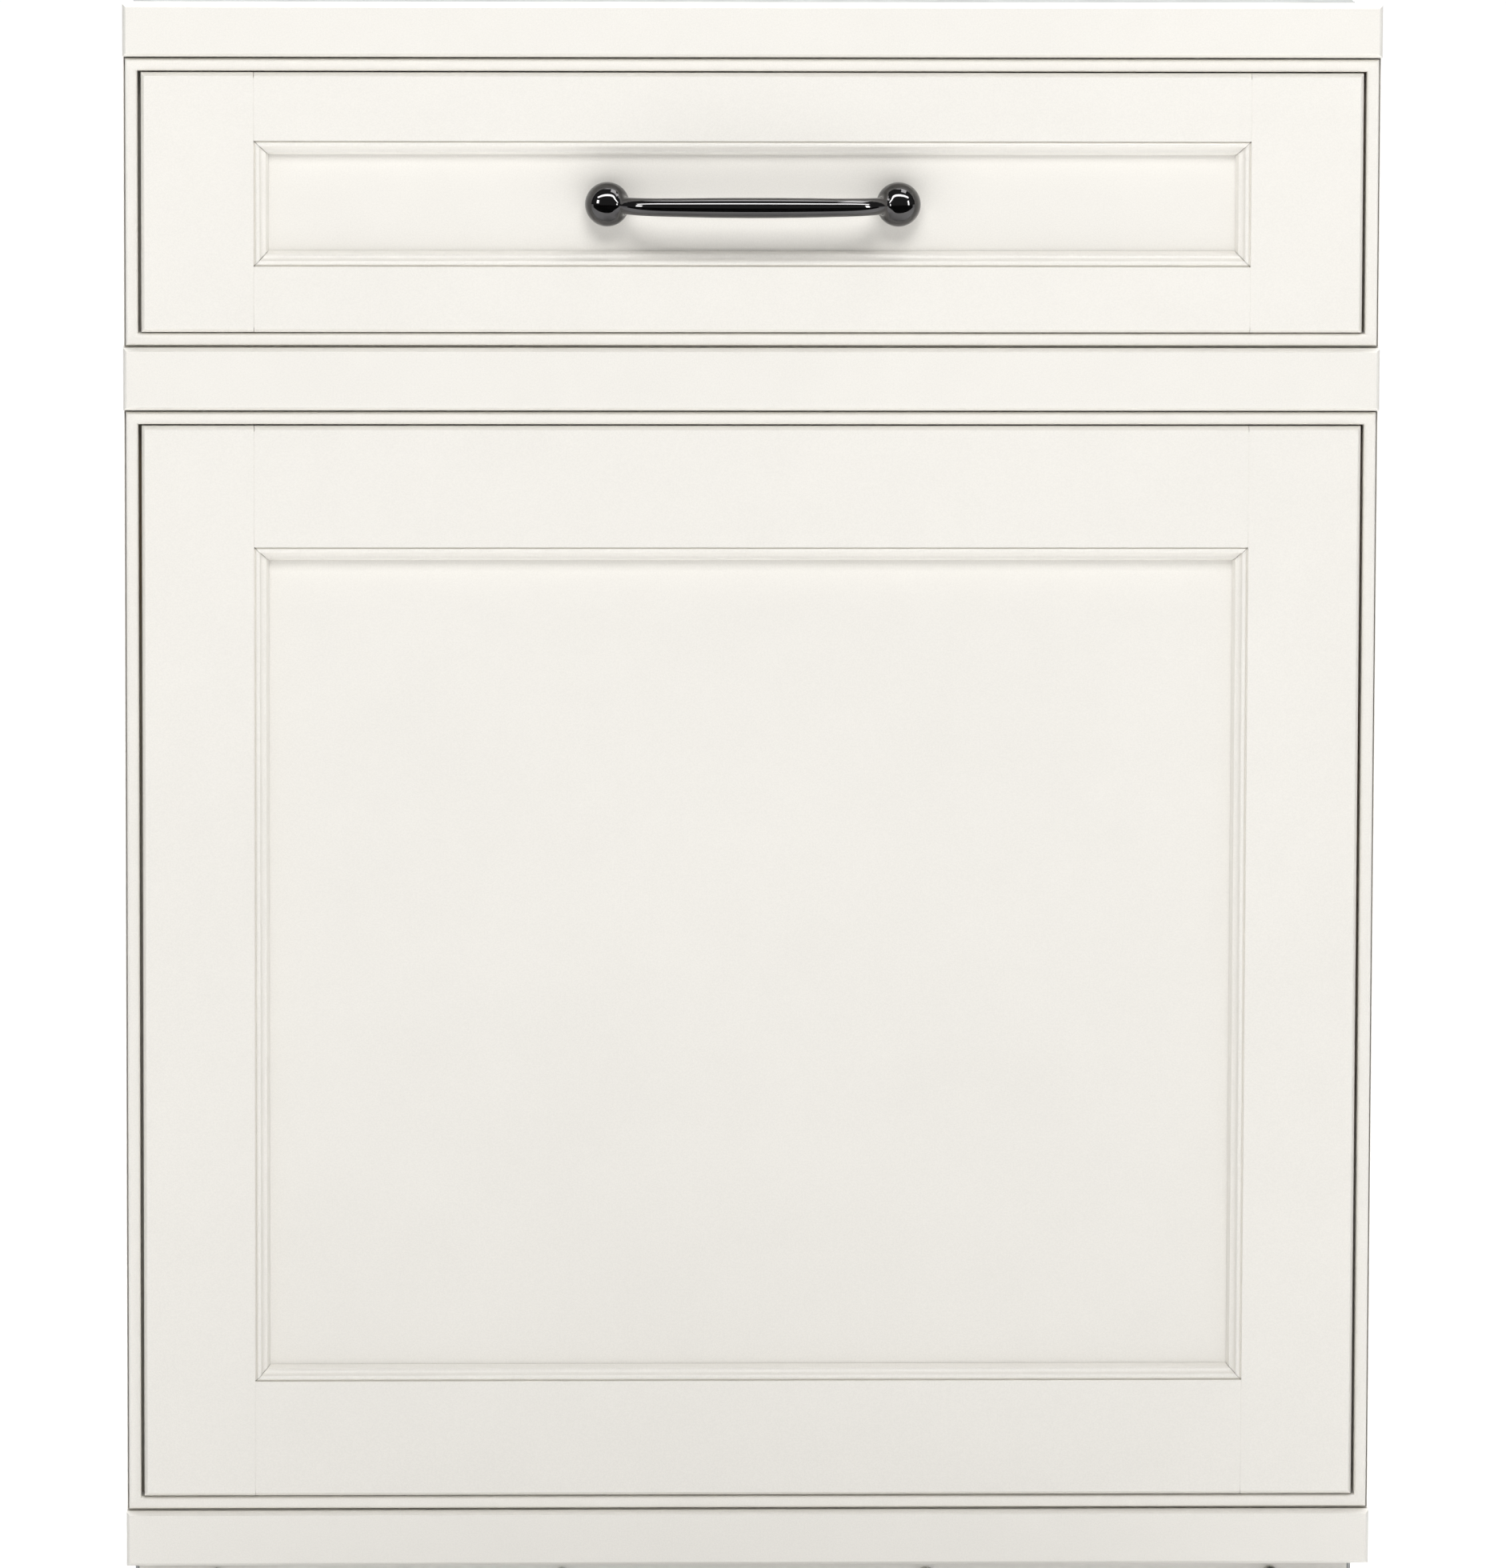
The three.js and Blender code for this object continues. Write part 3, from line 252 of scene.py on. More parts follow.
class Form:
    """Gathers closed bodies and open sheets in one mesh."""

    def __init__(self):
        self.mesh = bmesh.new()

    def skin(self, rings, closed=False):
        """Joins rings of equal length. The two ends are capped, or joined to each other when closed."""
        rows = [[self.mesh.verts.new(point) for point in ring] for ring in rings]
        pairs = list(zip(rows, rows[1:]))
        if closed:
            pairs.append((rows[-1], rows[0]))
        for low, high in pairs:
            for i, corner in enumerate(low):
                j = (i + 1) % len(low)
                self.mesh.faces.new((corner, low[j], high[j], high[i]))
        if not closed:
            self.mesh.faces.new(rows[0][::-1])
            self.mesh.faces.new(rows[-1])

    def turn(self, profile, centre, axis="Z", sides=40, closed=False):
        """A turned body: the profile is (radius, height) pairs, along the axis from the centre."""
        centre = Vector(centre)
        rings = []
        for radius, height in profile:
            ring = []
            for i in range(sides):
                angle = 2 * math.pi * i / sides
                u, v = max(radius, 1e-5) * math.cos(angle), max(radius, 1e-5) * math.sin(angle)
                offset = {"X": (height, u, v), "Y": (v, height, u), "Z": (u, v, height)}[axis]
                ring.append(centre + Vector(offset))
            rings.append(ring)
        self.skin(rings, closed)

    def block(self, low, high, rounding=0.0, segments=3, edges="XYZ"):
        """A block, with its edges along the named axes rounded."""
        low, high = Vector(low), Vector(high)
        made = bmesh.ops.create_cube(self.mesh, size=1.0)["verts"]
        for vert in made:
            vert.co = Vector(low[k] if vert.co[k] < 0 else high[k] for k in range(3))
        if rounding:
            chosen = []
            for edge in {e for vert in made for e in vert.link_edges}:
                run = edge.verts[0].co - edge.verts[1].co
                along = "XYZ"[max(range(3), key=lambda k: abs(run[k]))]
                if along in edges:
                    chosen.append(edge)
            bmesh.ops.bevel(
                self.mesh, geom=chosen, offset=rounding, segments=segments, affect="EDGES", profile=0.5
            )

    def prism(self, outline, axis, start, end):
        """A flat outline pushed along an axis. The outline's pairs lie on the other two axes, in order."""
        def ring(level):
            place = {"X": lambda u, v: (level, u, v), "Y": lambda u, v: (u, level, v)}
            place["Z"] = lambda u, v: (u, v, level)
            return [place[axis](u, v) for u, v in outline]

        self.skin([ring(start), ring(end)])

    def ball(self, centre, radius, detail=2):
        made = bmesh.ops.create_icosphere(self.mesh, subdivisions=detail, radius=radius)["verts"]
        bmesh.ops.translate(self.mesh, verts=made, vec=Vector(centre))

    def sweep(self, points, radii, sides=16):
        """A round bar along a line of points, with a radius at each."""
        points = [Vector(point) for point in points]
        side = None
        rings = []
        for i, point in enumerate(points):
            run = (points[min(i + 1, len(points) - 1)] - points[max(i - 1, 0)]).normalized()
            if side is None:
                side = run.orthogonal().normalized()
            side = (side - run * side.dot(run)).normalized()
            other = run.cross(side)
            turn = [2 * math.pi * k / sides for k in range(sides)]
            rings.append([point + (side * math.cos(a) + other * math.sin(a)) * radii[i] for a in turn])
        self.skin(rings)

    def cell(self, u, v, press, place):
        """A rectangle of sheet from u[0], v[0] to u[1], v[1], with a rounded field pressed out of it.

        The press is (margin, corner radius, slope width, depth). Place turns (u, v, depth) into a point.
        """
        margin, radius, slope, depth = press
        arc = 6
        reach = margin + radius

        def corner_points(inset, level):
            points = []
            for k in range(4):
                su, sv = ((1, 1), (-1, 1), (-1, -1), (1, -1))[k]
                cu = u[1] - reach if su > 0 else u[0] + reach
                cv = v[1] - reach if sv > 0 else v[0] + reach
                steps = range(arc + 1) if k % 2 == 0 else range(arc, -1, -1)
                for i in steps:
                    angle = math.pi / 2 * i / arc
                    if inset is None:
                        across = 1 if i <= arc / 2 else 1 / math.tan(angle)
                        up = math.tan(angle) if i <= arc / 2 else 1
                        points.append((cu + su * reach * across, cv + sv * reach * up, 0.0))
                    else:
                        size = radius - inset
                        points.append((
                            cu + su * size * math.cos(angle),
                            cv + sv * size * math.sin(angle),
                            level,
                        ))
            return points

        rounds = [corner_points(None, 0.0)]
        steps = 6
        for i in range(steps + 1):
            share = i / steps
            ease = share * share * (3 - 2 * share)
            rounds.append(corner_points(slope * share, depth * ease))
        rows = [[self.mesh.verts.new(place(*point)) for point in ring] for ring in rounds]
        for low, high in zip(rows, rows[1:]):
            for i, corner in enumerate(low):
                j = (i + 1) % len(low)
                self.mesh.faces.new((corner, low[j], high[j], high[i]))
        self.mesh.faces.new(rows[-1])

    def fold(self, chosen, move):
        """Turns up a flange along the open edges whose two ends the test chooses."""
        self.weld()
        edges = [e for e in self.mesh.edges if e.is_boundary and all(chosen(v.co) for v in e.verts)]
        made = bmesh.ops.extrude_edge_only(self.mesh, edges=edges)["geom"]
        verts = [g for g in made if isinstance(g, bmesh.types.BMVert)]
        bmesh.ops.translate(self.mesh, verts=verts, vec=Vector(move))

    def weld(self, distance=0.00002):
        bmesh.ops.remove_doubles(self.mesh, verts=self.mesh.verts, dist=distance)

    def piece(self, name):
        bmesh.ops.recalc_face_normals(self.mesh, faces=self.mesh.faces)
        data = bpy.data.meshes.new(name)
        self.mesh.to_mesh(data)
        self.mesh.free()
        piece = bpy.data.objects.new(name, data)
        bpy.context.scene.collection.objects.link(piece)
        return piece


def soften(piece, width=0.0003, segments=2, angle=40):
    """Even shading and hair-fine broken edges."""
    piece.data.polygons.foreach_set("use_smooth", [True] * len(piece.data.polygons))
    weld = piece.modifiers.new("weld", "WELD")
    weld.merge_threshold = 0.00001
    bevel = piece.modifiers.new("broken edges", "BEVEL")
    bevel.width = width
    bevel.segments = segments
    bevel.limit_method = "ANGLE"
    bevel.angle_limit = math.radians(angle)
    bevel.harden_normals = True
    normals = piece.modifiers.new("even shading", "WEIGHTED_NORMAL")
    normals.keep_sharp = True


def settle(piece, slot, body, *nodes, edge=0.0003):
    """Finishes a piece: its material, the body it rides on and the CAD nodes it stands for."""
    piece.data.materials.append(LOOKS[slot].material)
    if edge:
        soften(piece, edge)
    else:
        piece.data.polygons.foreach_set("use_smooth", [True] * len(piece.data.polygons))
    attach(piece, body)
    if nodes:
        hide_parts(*nodes)
    return piece


def stand_in(form, node, edge=0.0003, slot=None):
    """A detailed piece in place of one CAD node, on the same body and with the same finish."""
    piece = form.piece(node + "_detail")
    return settle(piece, slot or SLOT_OF[node], BODY_OF[node], node, edge=edge)


def sheet_piece(form, name, thickness, inwards, fold_radius=0.0015):
    """Gives an open sheet its folds' radius and its thickness. Inwards is the way the thickness grows."""
    form.weld()
    piece = form.piece(name)
    flat = max(piece.data.polygons, key=lambda polygon: polygon.area)
    if flat.normal.dot(Vector(inwards)) > 0:
        piece.data.flip_normals()
    folds = piece.modifiers.new("folds", "BEVEL")
    folds.width = fold_radius
    folds.segments = 3
    folds.limit_method = "ANGLE"
    folds.angle_limit = math.radians(50)
    gauge = piece.modifiers.new("gauge", "SOLIDIFY")
    gauge.thickness = thickness
    gauge.offset = -1
    gauge.use_even_offset = True
    return piece


def finish_node(name):
    """A CAD node keeps its shape and gets its material and softened edges."""
    node = NODES[name]
    node.data.materials.clear()
    node.data.materials.append(LOOKS[SLOT_OF[name]].material)
    soften(node, PAINTED_EDGE if SLOT_OF[name] == "face_paint" else 0.3 * MM)


for node_name in NODES:
    finish_node(node_name)


# ---- the pull


def pull_handle():
    """Two ball feet and a bar cast in one: a single sweep whose radius swells into the balls."""
    low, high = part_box("pull_handle")
    ball = (high.z - low.z) / 2
    middle = (high.z + low.z) / 2
    thin, even, thick, fillet = 4.1 * MM, 4.5 * MM, 4.9 * MM, 5.5 * MM
    bow = 1.5 * MM
    y_ball = high.y - 8.5 * MM
    y_bar = low.y + thick
    foot = high.x - ball
    lean = math.radians(47)
    out = Vector((-math.cos(lean), -math.sin(lean), 0))
    centre = Vector((foot, y_ball, middle))
    root = math.sqrt((ball + fillet) ** 2 - (thin + fillet) ** 2)
    touch = root * ball / (ball + fillet)
    points, radii = [], []
    steps = 26
    for i in range(steps + 1):
        along = -ball * math.cos(math.acos(-touch / ball) * i / steps)
        points.append(centre + out * along)
        radii.append(math.sqrt(max(ball * ball - along * along, 1e-12)))
    steps = 10
    for i in range(1, steps + 1):
        along = touch + (root - touch) * i / steps
        points.append(centre + out * along)
        radii.append(thin + fillet - math.sqrt(max(fillet * fillet - (root - along) ** 2, 0)))
    start = centre + out * root
    level = Vector((foot - 33 * MM, y_bar + bow, middle))
    pull_in = start + out * 8.2 * MM
    ease = level + Vector((12 * MM, 1.1 * MM, 0))
    steps = 30
    for i in range(1, steps + 1):
        t = i / steps
        s = 1 - t
        points.append(start * s**3 + pull_in * 3 * s * s * t + ease * 3 * s * t * t + level * t**3)
        radii.append(thin + (even - thin) * t)
    steps = 20
    for i in range(1, steps + 1):
        t = i / steps
        points.append(Vector((level.x * (1 - t), y_bar + bow * (1 - t) ** 2, middle)))
        radii.append(even + (thick - even) * t * (2 - t))
    other = [Vector((-point.x, point.y, point.z)) for point in points[-2::-1]]
    form = Form()
    form.sweep(points + other, radii + radii[-2::-1], 56)
    back = (-high.x * 2, high.y, middle - 0.1), (0, -1, 0)
    bmesh.ops.bisect_plane(
        form.mesh,
        geom=form.mesh.verts[:] + form.mesh.edges[:] + form.mesh.faces[:],
        plane_co=back[0],
        plane_no=back[1],
        clear_inner=True,
    )
    bmesh.ops.holes_fill(form.mesh, edges=[e for e in form.mesh.edges if e.is_boundary], sides=0)
    form.weld(0.000005)
    piece = form.piece("pull_handle_detail")
    piece.data.set_sharp_from_angle(angle=math.radians(60))
    settle(piece, "pull_metal", "drawer", "pull_handle", edge=0)


pull_handle()

# ---- paint in the joints of the fronts


def painted_joints(front):
    """The paint bridges the butt joints between stiles and rails, leaving only a hairline."""
    form = Form()
    for rail in ("rail_top", "rail_bottom"):
        low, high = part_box(front + "_" + rail)
        upper = rail == "rail_top"
        panel_low, panel_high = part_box(front + "_panel")
        bottom = panel_high.z if upper else low.z + 2.5 * MM
        top = high.z - 2.5 * MM if upper else panel_low.z
        for x in (low.x - 0.1 * MM, high.x + 0.1 * MM):
            start = Vector((x - 0.13 * MM, low.y + 0.1 * MM, bottom))
            end = Vector((x + 0.13 * MM, low.y + 1.5 * MM, top))
            form.block(start, end, 0.02 * MM, 1)
    piece = form.piece(front + "_painted_joints")
    settle(piece, "face_paint", "drawer", edge=0)


painted_joints("drawer_front")
painted_joints("door_front")

# ---- fasteners


def screw_head(form, place, axis, radius=4.5 * MM, rise=2.4 * MM, sink=0.3 * MM, sides=24):
    """A domed screw head with a hexagon socket, standing off a surface along an axis such as +Y."""
    sign = 1 if axis[0] == "+" else -1
    dome = [
        (radius * 1.02, -sink * sign),
        (radius, 0.35 * rise * sign),
        (radius * 0.9, 0.72 * rise * sign),
    ]
    dome += [(radius * 0.66, 0.95 * rise * sign), (radius * 0.5, rise * sign)]
    dome += [(radius * 0.46, rise * 0.45 * sign)]
    form.turn(dome, place, axis[1], sides)


def hexagon_head(form, place, axis, radius=6.5 * MM, rise=4 * MM, washer=True):
    sign = 1 if axis[0] == "+" else -1
    base = 0.0
    if washer:
        form.turn(
            [(radius * 1.45, -0.2 * MM * sign), (radius * 1.45, 1.1 * MM * sign)],
            place,
            axis[1],
            32,
        )
        base = 1.1 * MM
    form.turn(
        [
            (radius, base * sign),
            (radius, (base + rise * 0.85) * sign),
            (radius * 0.86, (base + rise) * sign),
        ],
        place,
        axis[1],
        6,
    )


# ---- cabinet sheets

CABINET_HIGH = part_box("cabinet_side_right")[1]
SIDE_SCREW_HEIGHTS = (0.052, 0.830)
SHEET = 1.5 * MM
TOE_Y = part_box("toe_kick")[0].y
TOE_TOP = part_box("backing_board")[0].z - 1 * MM


def cabinet_side(side):
    """A side panel: pressed fields in two columns, a flange turned in at the front and one along the back."""
    name = "cabinet_side_" + ("left" if side < 0 else "right")
    low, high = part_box(name)
    outer = side * high.x if side > 0 else low.x
    form = Form()
    press = (38 * MM, 26 * MM, 9 * MM, 3.2 * MM)
    divide = (low.y + high.y) / 2

    def place(u, v, depth):
        return Vector((outer - side * depth, u, v))

    bands = [(TOE_TOP, 0.3 * high.z), (0.3 * high.z, 0.64 * high.z), (0.64 * high.z, high.z)]
    for v in bands:
        for u in ((low.y, divide), (divide, high.y)):
            form.cell(u, v, press, place)
    form.cell((TOE_Y, divide), (low.z, TOE_TOP), (26 * MM, 12 * MM, 5 * MM, 1.2 * MM), place)
    form.cell((divide, high.y), (low.z, TOE_TOP), (26 * MM, 12 * MM, 5 * MM, 1.2 * MM), place)
    near = 0.01 * MM
    form.fold(lambda co: abs(co.y - low.y) < near and co.z > TOE_TOP - near, (-side * 13.3 * MM, 0, 0))
    form.fold(lambda co: abs(co.y - high.y) < near, (-side * 1 * MM, 0, 0))
    piece = sheet_piece(form, name + "_detail", SHEET, (-side, 0, 0))
    settle(piece, SLOT_OF[name], "cabinet", name, edge=0.0002)


for side in (-1, 1):
    cabinet_side(side)


def cabinet_top():
    low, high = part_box("cabinet_top")
    form = Form()

    def place(u, v, depth):
        return Vector((u, v, high.z - depth))

    thirds = [low.x + (high.x - low.x) * k / 3 for k in range(4)]
    split = low.y + 110 * MM
    for u in zip(thirds, thirds[1:]):
        form.cell(u, (low.y, split), (30 * MM, 10 * MM, 5 * MM, 0.0), place)
        form.cell(u, (split, high.y), (30 * MM, 18 * MM, 8 * MM, 2.6 * MM), place)
    piece = sheet_piece(form, "cabinet_top_detail", SHEET, (0, 0, -1))
    settle(piece, SLOT_OF["cabinet_top"], "cabinet", "cabinet_top", edge=0.0002)


cabinet_top()


def cabinet_back():
    """The back: pressed fields, a louvred vent plate and the screws that hold it."""
    low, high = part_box("cabinet_back")
    form = Form()

    def place(u, v, depth):
        return Vector((u, high.y - depth, v))

    press = (30 * MM, 20 * MM, 8 * MM, 2.6 * MM)
    vent_low, vent_high = 170 * MM, 330 * MM
    vent_half = 80 * MM
    for u in ((low.x, 0.0), (0.0, high.x)):
        form.cell(u, (0.36 * high.z + 30 * MM, 0.68 * high.z), press, place)
        form.cell(u, (0.68 * high.z, high.z), press, place)
    flat = (20 * MM, 8 * MM, 4 * MM, 0.0)
    seam = 0.36 * high.z + 30 * MM
    form.cell((low.x, 0.0), (low.z, seam), flat, place)
    form.cell((0.0, high.x), (low.z, seam), flat, place)
    piece = sheet_piece(form, "cabinet_back_detail", SHEET, (0, -1, 0))
    settle(piece, SLOT_OF["cabinet_back"], "cabinet", "cabinet_back", edge=0.0002)

    plate = Form()
    skin = 1.2 * MM
    plate.block(
        (-vent_half, high.y, vent_low), (vent_half, high.y + skin, vent_high), 5 * MM, 4, "Y"
    )
    rows = 8
    pitch = (vent_high - vent_low - 24 * MM) / rows
    for row in range(rows):
        louvre(plate, 60 * MM, high.y + skin, vent_low + 14 * MM + pitch * row)
    vent = plate.piece("vent_plate")
    settle(vent, "galvanised_sheet", "cabinet", edge=0.0002)

    heads = Form()
    for x in (-1, 1):
        for z in (vent_low + 7 * MM, (vent_low + vent_high) / 2, vent_high - 7 * MM):
            screw_head(heads, (x * (vent_half - 7 * MM), high.y + skin, z), "+Y", 3.4 * MM, 1.8 * MM)
        for k in range(6):
            z = low.z + 24 * MM + (high.z - low.z - 48 * MM) * k / 5
            screw_head(heads, (x * (high.x - 11 * MM), high.y, z), "+Y", 4.2 * MM, 2.1 * MM)
    settle(heads.piece("back_screws"), "zinc_fastener", "cabinet", edge=0)


def louvre(form, half, y, z):
    """A pressed hood over one slot, open below: a quarter-round skin with its two ends."""
    depth, rise, skin = 4.2 * MM, 9 * MM, 1.0 * MM
    steps = 8
    outer = [(
        y + depth * math.cos(math.pi / 2 * k / steps),
        z + rise * math.sin(math.pi / 2 * k / steps),
    )
             for k in range(steps + 1)]
    inner = [(y + (depth - skin) * math.cos(math.pi / 2 * k / steps),
              z + (rise - skin) * math.sin(math.pi / 2 * k / steps)) for k in range(steps, -1, -1)]
    form.prism(outer + inner, "X", -half, half)
    for end in (-half, half - skin):
        form.prism(outer + [(y - 0.1 * MM, z + rise), (y - 0.1 * MM, z)], "X", end, end + skin)


cabinet_back()


def frame_screws():
    """Screws on the sides, the top's front edge and the toe kick."""
    form = Form()
    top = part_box("cabinet_top")[1]
    for side in (-1, 1):
        for y in (-200 * MM, -40 * MM, 120 * MM, 270 * MM):
            for z in SIDE_SCREW_HEIGHTS:
                axis = ("+" if side > 0 else "-") + "X"
                screw_head(form, (side * CABINET_HIGH.x, y, z), axis, 4.2 * MM, 2.0 * MM)
        for y in (-40 * MM, 120 * MM, 285 * MM):
            screw_head(form, (side * (top.x - 10 * MM), y, top.z), "+Z", 4.2 * MM, 1.8 * MM)
    kick_low, kick_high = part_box("toe_kick")
    for x in (-0.26, -0.09, 0.09, 0.26):
        screw_head(form, (x, kick_low.y, kick_high.z - 16 * MM), "-Y", 4 * MM, 2 * MM)
    settle(form.piece("cabinet_screws"), "zinc_fastener", "cabinet", edge=0)


frame_screws()


# ---- feet, gland, switch


def levelling_foot(place):
    """A rubber-shod pad, a hexagon to turn it by and a threaded stem."""
    name = "foot_" + place
    low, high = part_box(name)
    centre = Vector(((low.x + high.x) / 2, (low.y + high.y) / 2, low.z))
    radius = (high.x - low.x) / 2
    body = Form()
    body.turn(
        [
            (radius * 0.93, 3 * MM), (
                radius * 0.985,
                3.3 * MM,
            ), (radius, 4.2 * MM), (radius * 0.98, 5.4 * MM),
            (
                radius * 0.9,
                6.2 * MM,
            ), (radius * 0.7, 7.6 * MM), (radius * 0.6, 9 * MM), (radius * 0.5, 9.6 * MM),
        ],
        centre, sides=56,
    )
    body.turn(
        [(8.4 * MM, 8.8 * MM), (9.5 * MM, 9.6 * MM), (9.5 * MM, 16.2 * MM), (8.4 * MM, 17 * MM)],
        centre,
        sides=6,
    )
    settle(body.piece(name + "_detail"), "foot_metal", BODY_OF[name], name, edge=0.0002)
    shoe = Form()
    shoe.turn(
        [
            (radius * 0.86, 0),
            (radius * 0.95, 0.5 * MM),
            (radius * 0.97, 1.6 * MM),
            (radius * 0.95, 3.2 * MM),
        ],
        centre, sides=56,
    )
    settle(shoe.piece(name + "_shoe"), "black_plastic", BODY_OF[name], edge=0.0002)
    stem = helix_body(
        centre + Vector((0, 0, 16.5 * MM)),
        4.9 * MM,
        4.2 * MM,
        1.5 * MM,
        high.z - 16.5 * MM,
        1.0,
    )
    settle(stem.piece(name + "_stem"), "zinc_fastener", BODY_OF[name], edge=0)


def helix_body(base, crest, root, pitch, length, sharpness=2.2, sides=28, per_turn=10):
    """A threaded bar. The thread is real: the radius follows the turn angle and the height."""
    form = Form()
    rows = int(round(length / pitch * per_turn))
    rings = []
    for row in range(rows + 1):
        z = length * row / rows
        ring = []
        for k in range(sides):
            turn = k / sides
            wave = math.cos(2 * math.pi * (z / pitch - turn))
            tooth = 0.5 + 0.5 * max(-1.0, min(1.0, wave * sharpness))
            fade = min(1.0, row / per_turn, (rows - row) / per_turn)
            radius = root + (crest - root) * tooth * fade
            angle = 2 * math.pi * turn
            ring.append(Vector(base) + Vector((radius * math.cos(angle), radius * math.sin(angle), z)))
        rings.append(ring)
    form.skin(rings)
    return form


for place in ("front_left", "front_right", "rear_left", "rear_right"):
    levelling_foot(place)


def cord_gland():
    """A dome nut with grip flats and an open bore."""
    low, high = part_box("cord_gland")
    centre = Vector(((low.x + high.x) / 2, 0, (low.z + high.z) / 2))
    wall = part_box("cabinet_back")[1].y
    form = Form()
    form.turn(
        [
            (5 * MM, low.y), (9.8 * MM, low.y), (9.8 * MM, wall - 2 * MM), (9.8 * MM, wall + 0.2 * MM),
            (14 * MM, wall + 0.2 * MM), (14 * MM, wall + 1.8 * MM), (13 * MM, wall + 2.6 * MM),
            (10.6 * MM, wall + 3 * MM), (9.6 * MM, wall + 4.4 * MM), (8 * MM, high.y - 0.5 * MM),
            (6.4 * MM, high.y), (5 * MM, high.y - 0.4 * MM),
        ],
        centre, "Y", 48, closed=True,
    )
    grips = 12
    for k in range(grips):
        angle = 2 * math.pi * k / grips
        spot = centre + Vector((12.6 * MM * math.cos(angle), wall + 1.4 * MM, 12.6 * MM * math.sin(angle)))
        form.turn([(1.3 * MM, 0), (1.3 * MM, 2 * MM), (0.8 * MM, 2.5 * MM)], spot, "Y", 12)
    stand_in(form, "cord_gland", 0.0002)


cord_gland()


def drawer_switch():
    """A microswitch: body, cover line, plunger and two blade terminals."""
    low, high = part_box("drawer_switch")
    form = Form()
    form.block(low, high - Vector((0, 4 * MM, 0)), 1.2 * MM)
    form.block(
        (low.x + 1 * MM, high.y - 4.4 * MM, low.z + 1 * MM),
        (high.x - 1 * MM, high.y, high.z - 1 * MM),
        1 * MM,
    )
    centre_x = (low.x + high.x) / 2
    form.turn(
        [(2.4 * MM, 0), (2.4 * MM, -1.4 * MM), (1.6 * MM, -2 * MM)],
        (centre_x, low.y, high.z - 9 * MM),
        "Y",
        20,
    )
    stand_in(form, "drawer_switch", 0.0002)
    metal = Form()
    for k in (-1, 1):
        x = centre_x + k * 5 * MM
        metal.block(
            (x - 2.4 * MM, high.y - 2 * MM, low.z - 8 * MM),
            (x + 2.4 * MM, high.y - 1.2 * MM, low.z + 2 * MM),
            0.3 * MM,
        )
        screw_head(
            metal,
            (high.x, (low.y + high.y) / 2, (low.z + high.z) / 2 + k * 10 * MM),
            "+X",
            2.4 * MM,
            1.4 * MM,
        )
    settle(metal.piece("drawer_switch_terminals"), "zinc_fastener", "cabinet", edge=0)


drawer_switch()


# ---- screws, sprockets and chain

CHAIN_PITCH = 9.525 * MM
ROLLER = 2.7 * MM


def power_screw(side):
    name = "power_screw_" + side
    low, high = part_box(name)
    centre = Vector(((low.x + high.x) / 2, (low.y + high.y) / 2, 0))
    crest = (high.x - low.x) / 2
    journal = 7 * MM
    bottom = 84.5 * MM
    top = 806 * MM
    form = helix_body(
        centre + Vector((0, 0, bottom)),
        crest,
        crest - 2 * MM,
        10 * MM,
        top - bottom,
        2.6,
        26,
        10,
    )
    form.turn(
        [(journal - 0.6 * MM, low.z), (journal, low.z + 0.8 * MM), (journal, bottom + 1 * MM)],
        centre,
    )
    form.turn([(journal, top - 1 * MM), (journal, high.z - 1 * MM), (journal - 1 * MM, high.z)], centre)
    form.turn(
        [
            (8.6 * MM, high.z - 5.6 * MM),
            (9.4 * MM, high.z - 5 * MM),
            (9.4 * MM, high.z - 2.4 * MM),
            (8.6 * MM, high.z - 2 * MM),
        ],
        centre, sides=6,
    )
    stand_in(form, name, 0)


def toothed_outline(teeth, pitch_radius):
    """A roller sprocket: round seats for the rollers and low rounded teeth between them."""
    points = []
    for tooth in range(teeth):
        seat = 2 * math.pi * tooth / teeth
        for k in range(7):
            around = math.radians(-66 + 22 * k)
            radial = pitch_radius - ROLLER * math.cos(around)
            across = ROLLER * math.sin(around)
            angle = seat + across / pitch_radius
            points.append((radial * math.cos(angle), radial * math.sin(angle)))
        tip = seat + math.pi / teeth
        for k in (-1, 1):
            angle = tip + k * 0.16 * math.pi / teeth
            radial = pitch_radius + 1.9 * MM
            points.append((radial * math.cos(angle), radial * math.sin(angle)))
    return points


def sprocket(name, teeth, hub):
    low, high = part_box(name)
    centre = ((low.x + high.x) / 2, (low.y + high.y) / 2)
    pitch_radius = CHAIN_PITCH / (2 * math.sin(math.pi / teeth))
    bottom, top = 74 * MM, 82 * MM
    middle = (bottom + top) / 2
    outline = toothed_outline(teeth, pitch_radius)

    def at(level, scale):
        return [(centre[0] + x * scale, centre[1] + y * scale, level) for x, y in outline]

    form = Form()
    thin = 2.1 * MM
    form.skin([
        at(middle - thin, 0.965),
        at(middle - 0.55 * thin, 1),
        at(middle + 0.55 * thin, 1),
        at(middle + thin, 0.965),
    ])
    form.turn(
        [
            (hub, low.z),
            (hub + 0.5 * MM, low.z + 0.5 * MM),
            (hub + 0.5 * MM, high.z - 0.5 * MM),
            (hub, high.z),
        ],
        (*centre, 0),
    )
    return form, centre


for side in ("left", "right"):
    power_screw(side)
    wheel, spot = sprocket("screw_sprocket_" + side, 18, 11.5 * MM)
    for k in range(5):
        angle = 2 * math.pi * k / 5
        hole = (spot[0] + 18 * MM * math.cos(angle), spot[1] + 18 * MM * math.sin(angle), 80.1 * MM)
        hexagon_head(wheel, hole, "-Z", 2.6 * MM, 7 * MM, False)
    stand_in(wheel, "screw_sprocket_" + side, 0.0002)
wheel, spot = sprocket("drive_sprocket", 9, 6 * MM)
stand_in(wheel, "drive_sprocket", 0.0002)


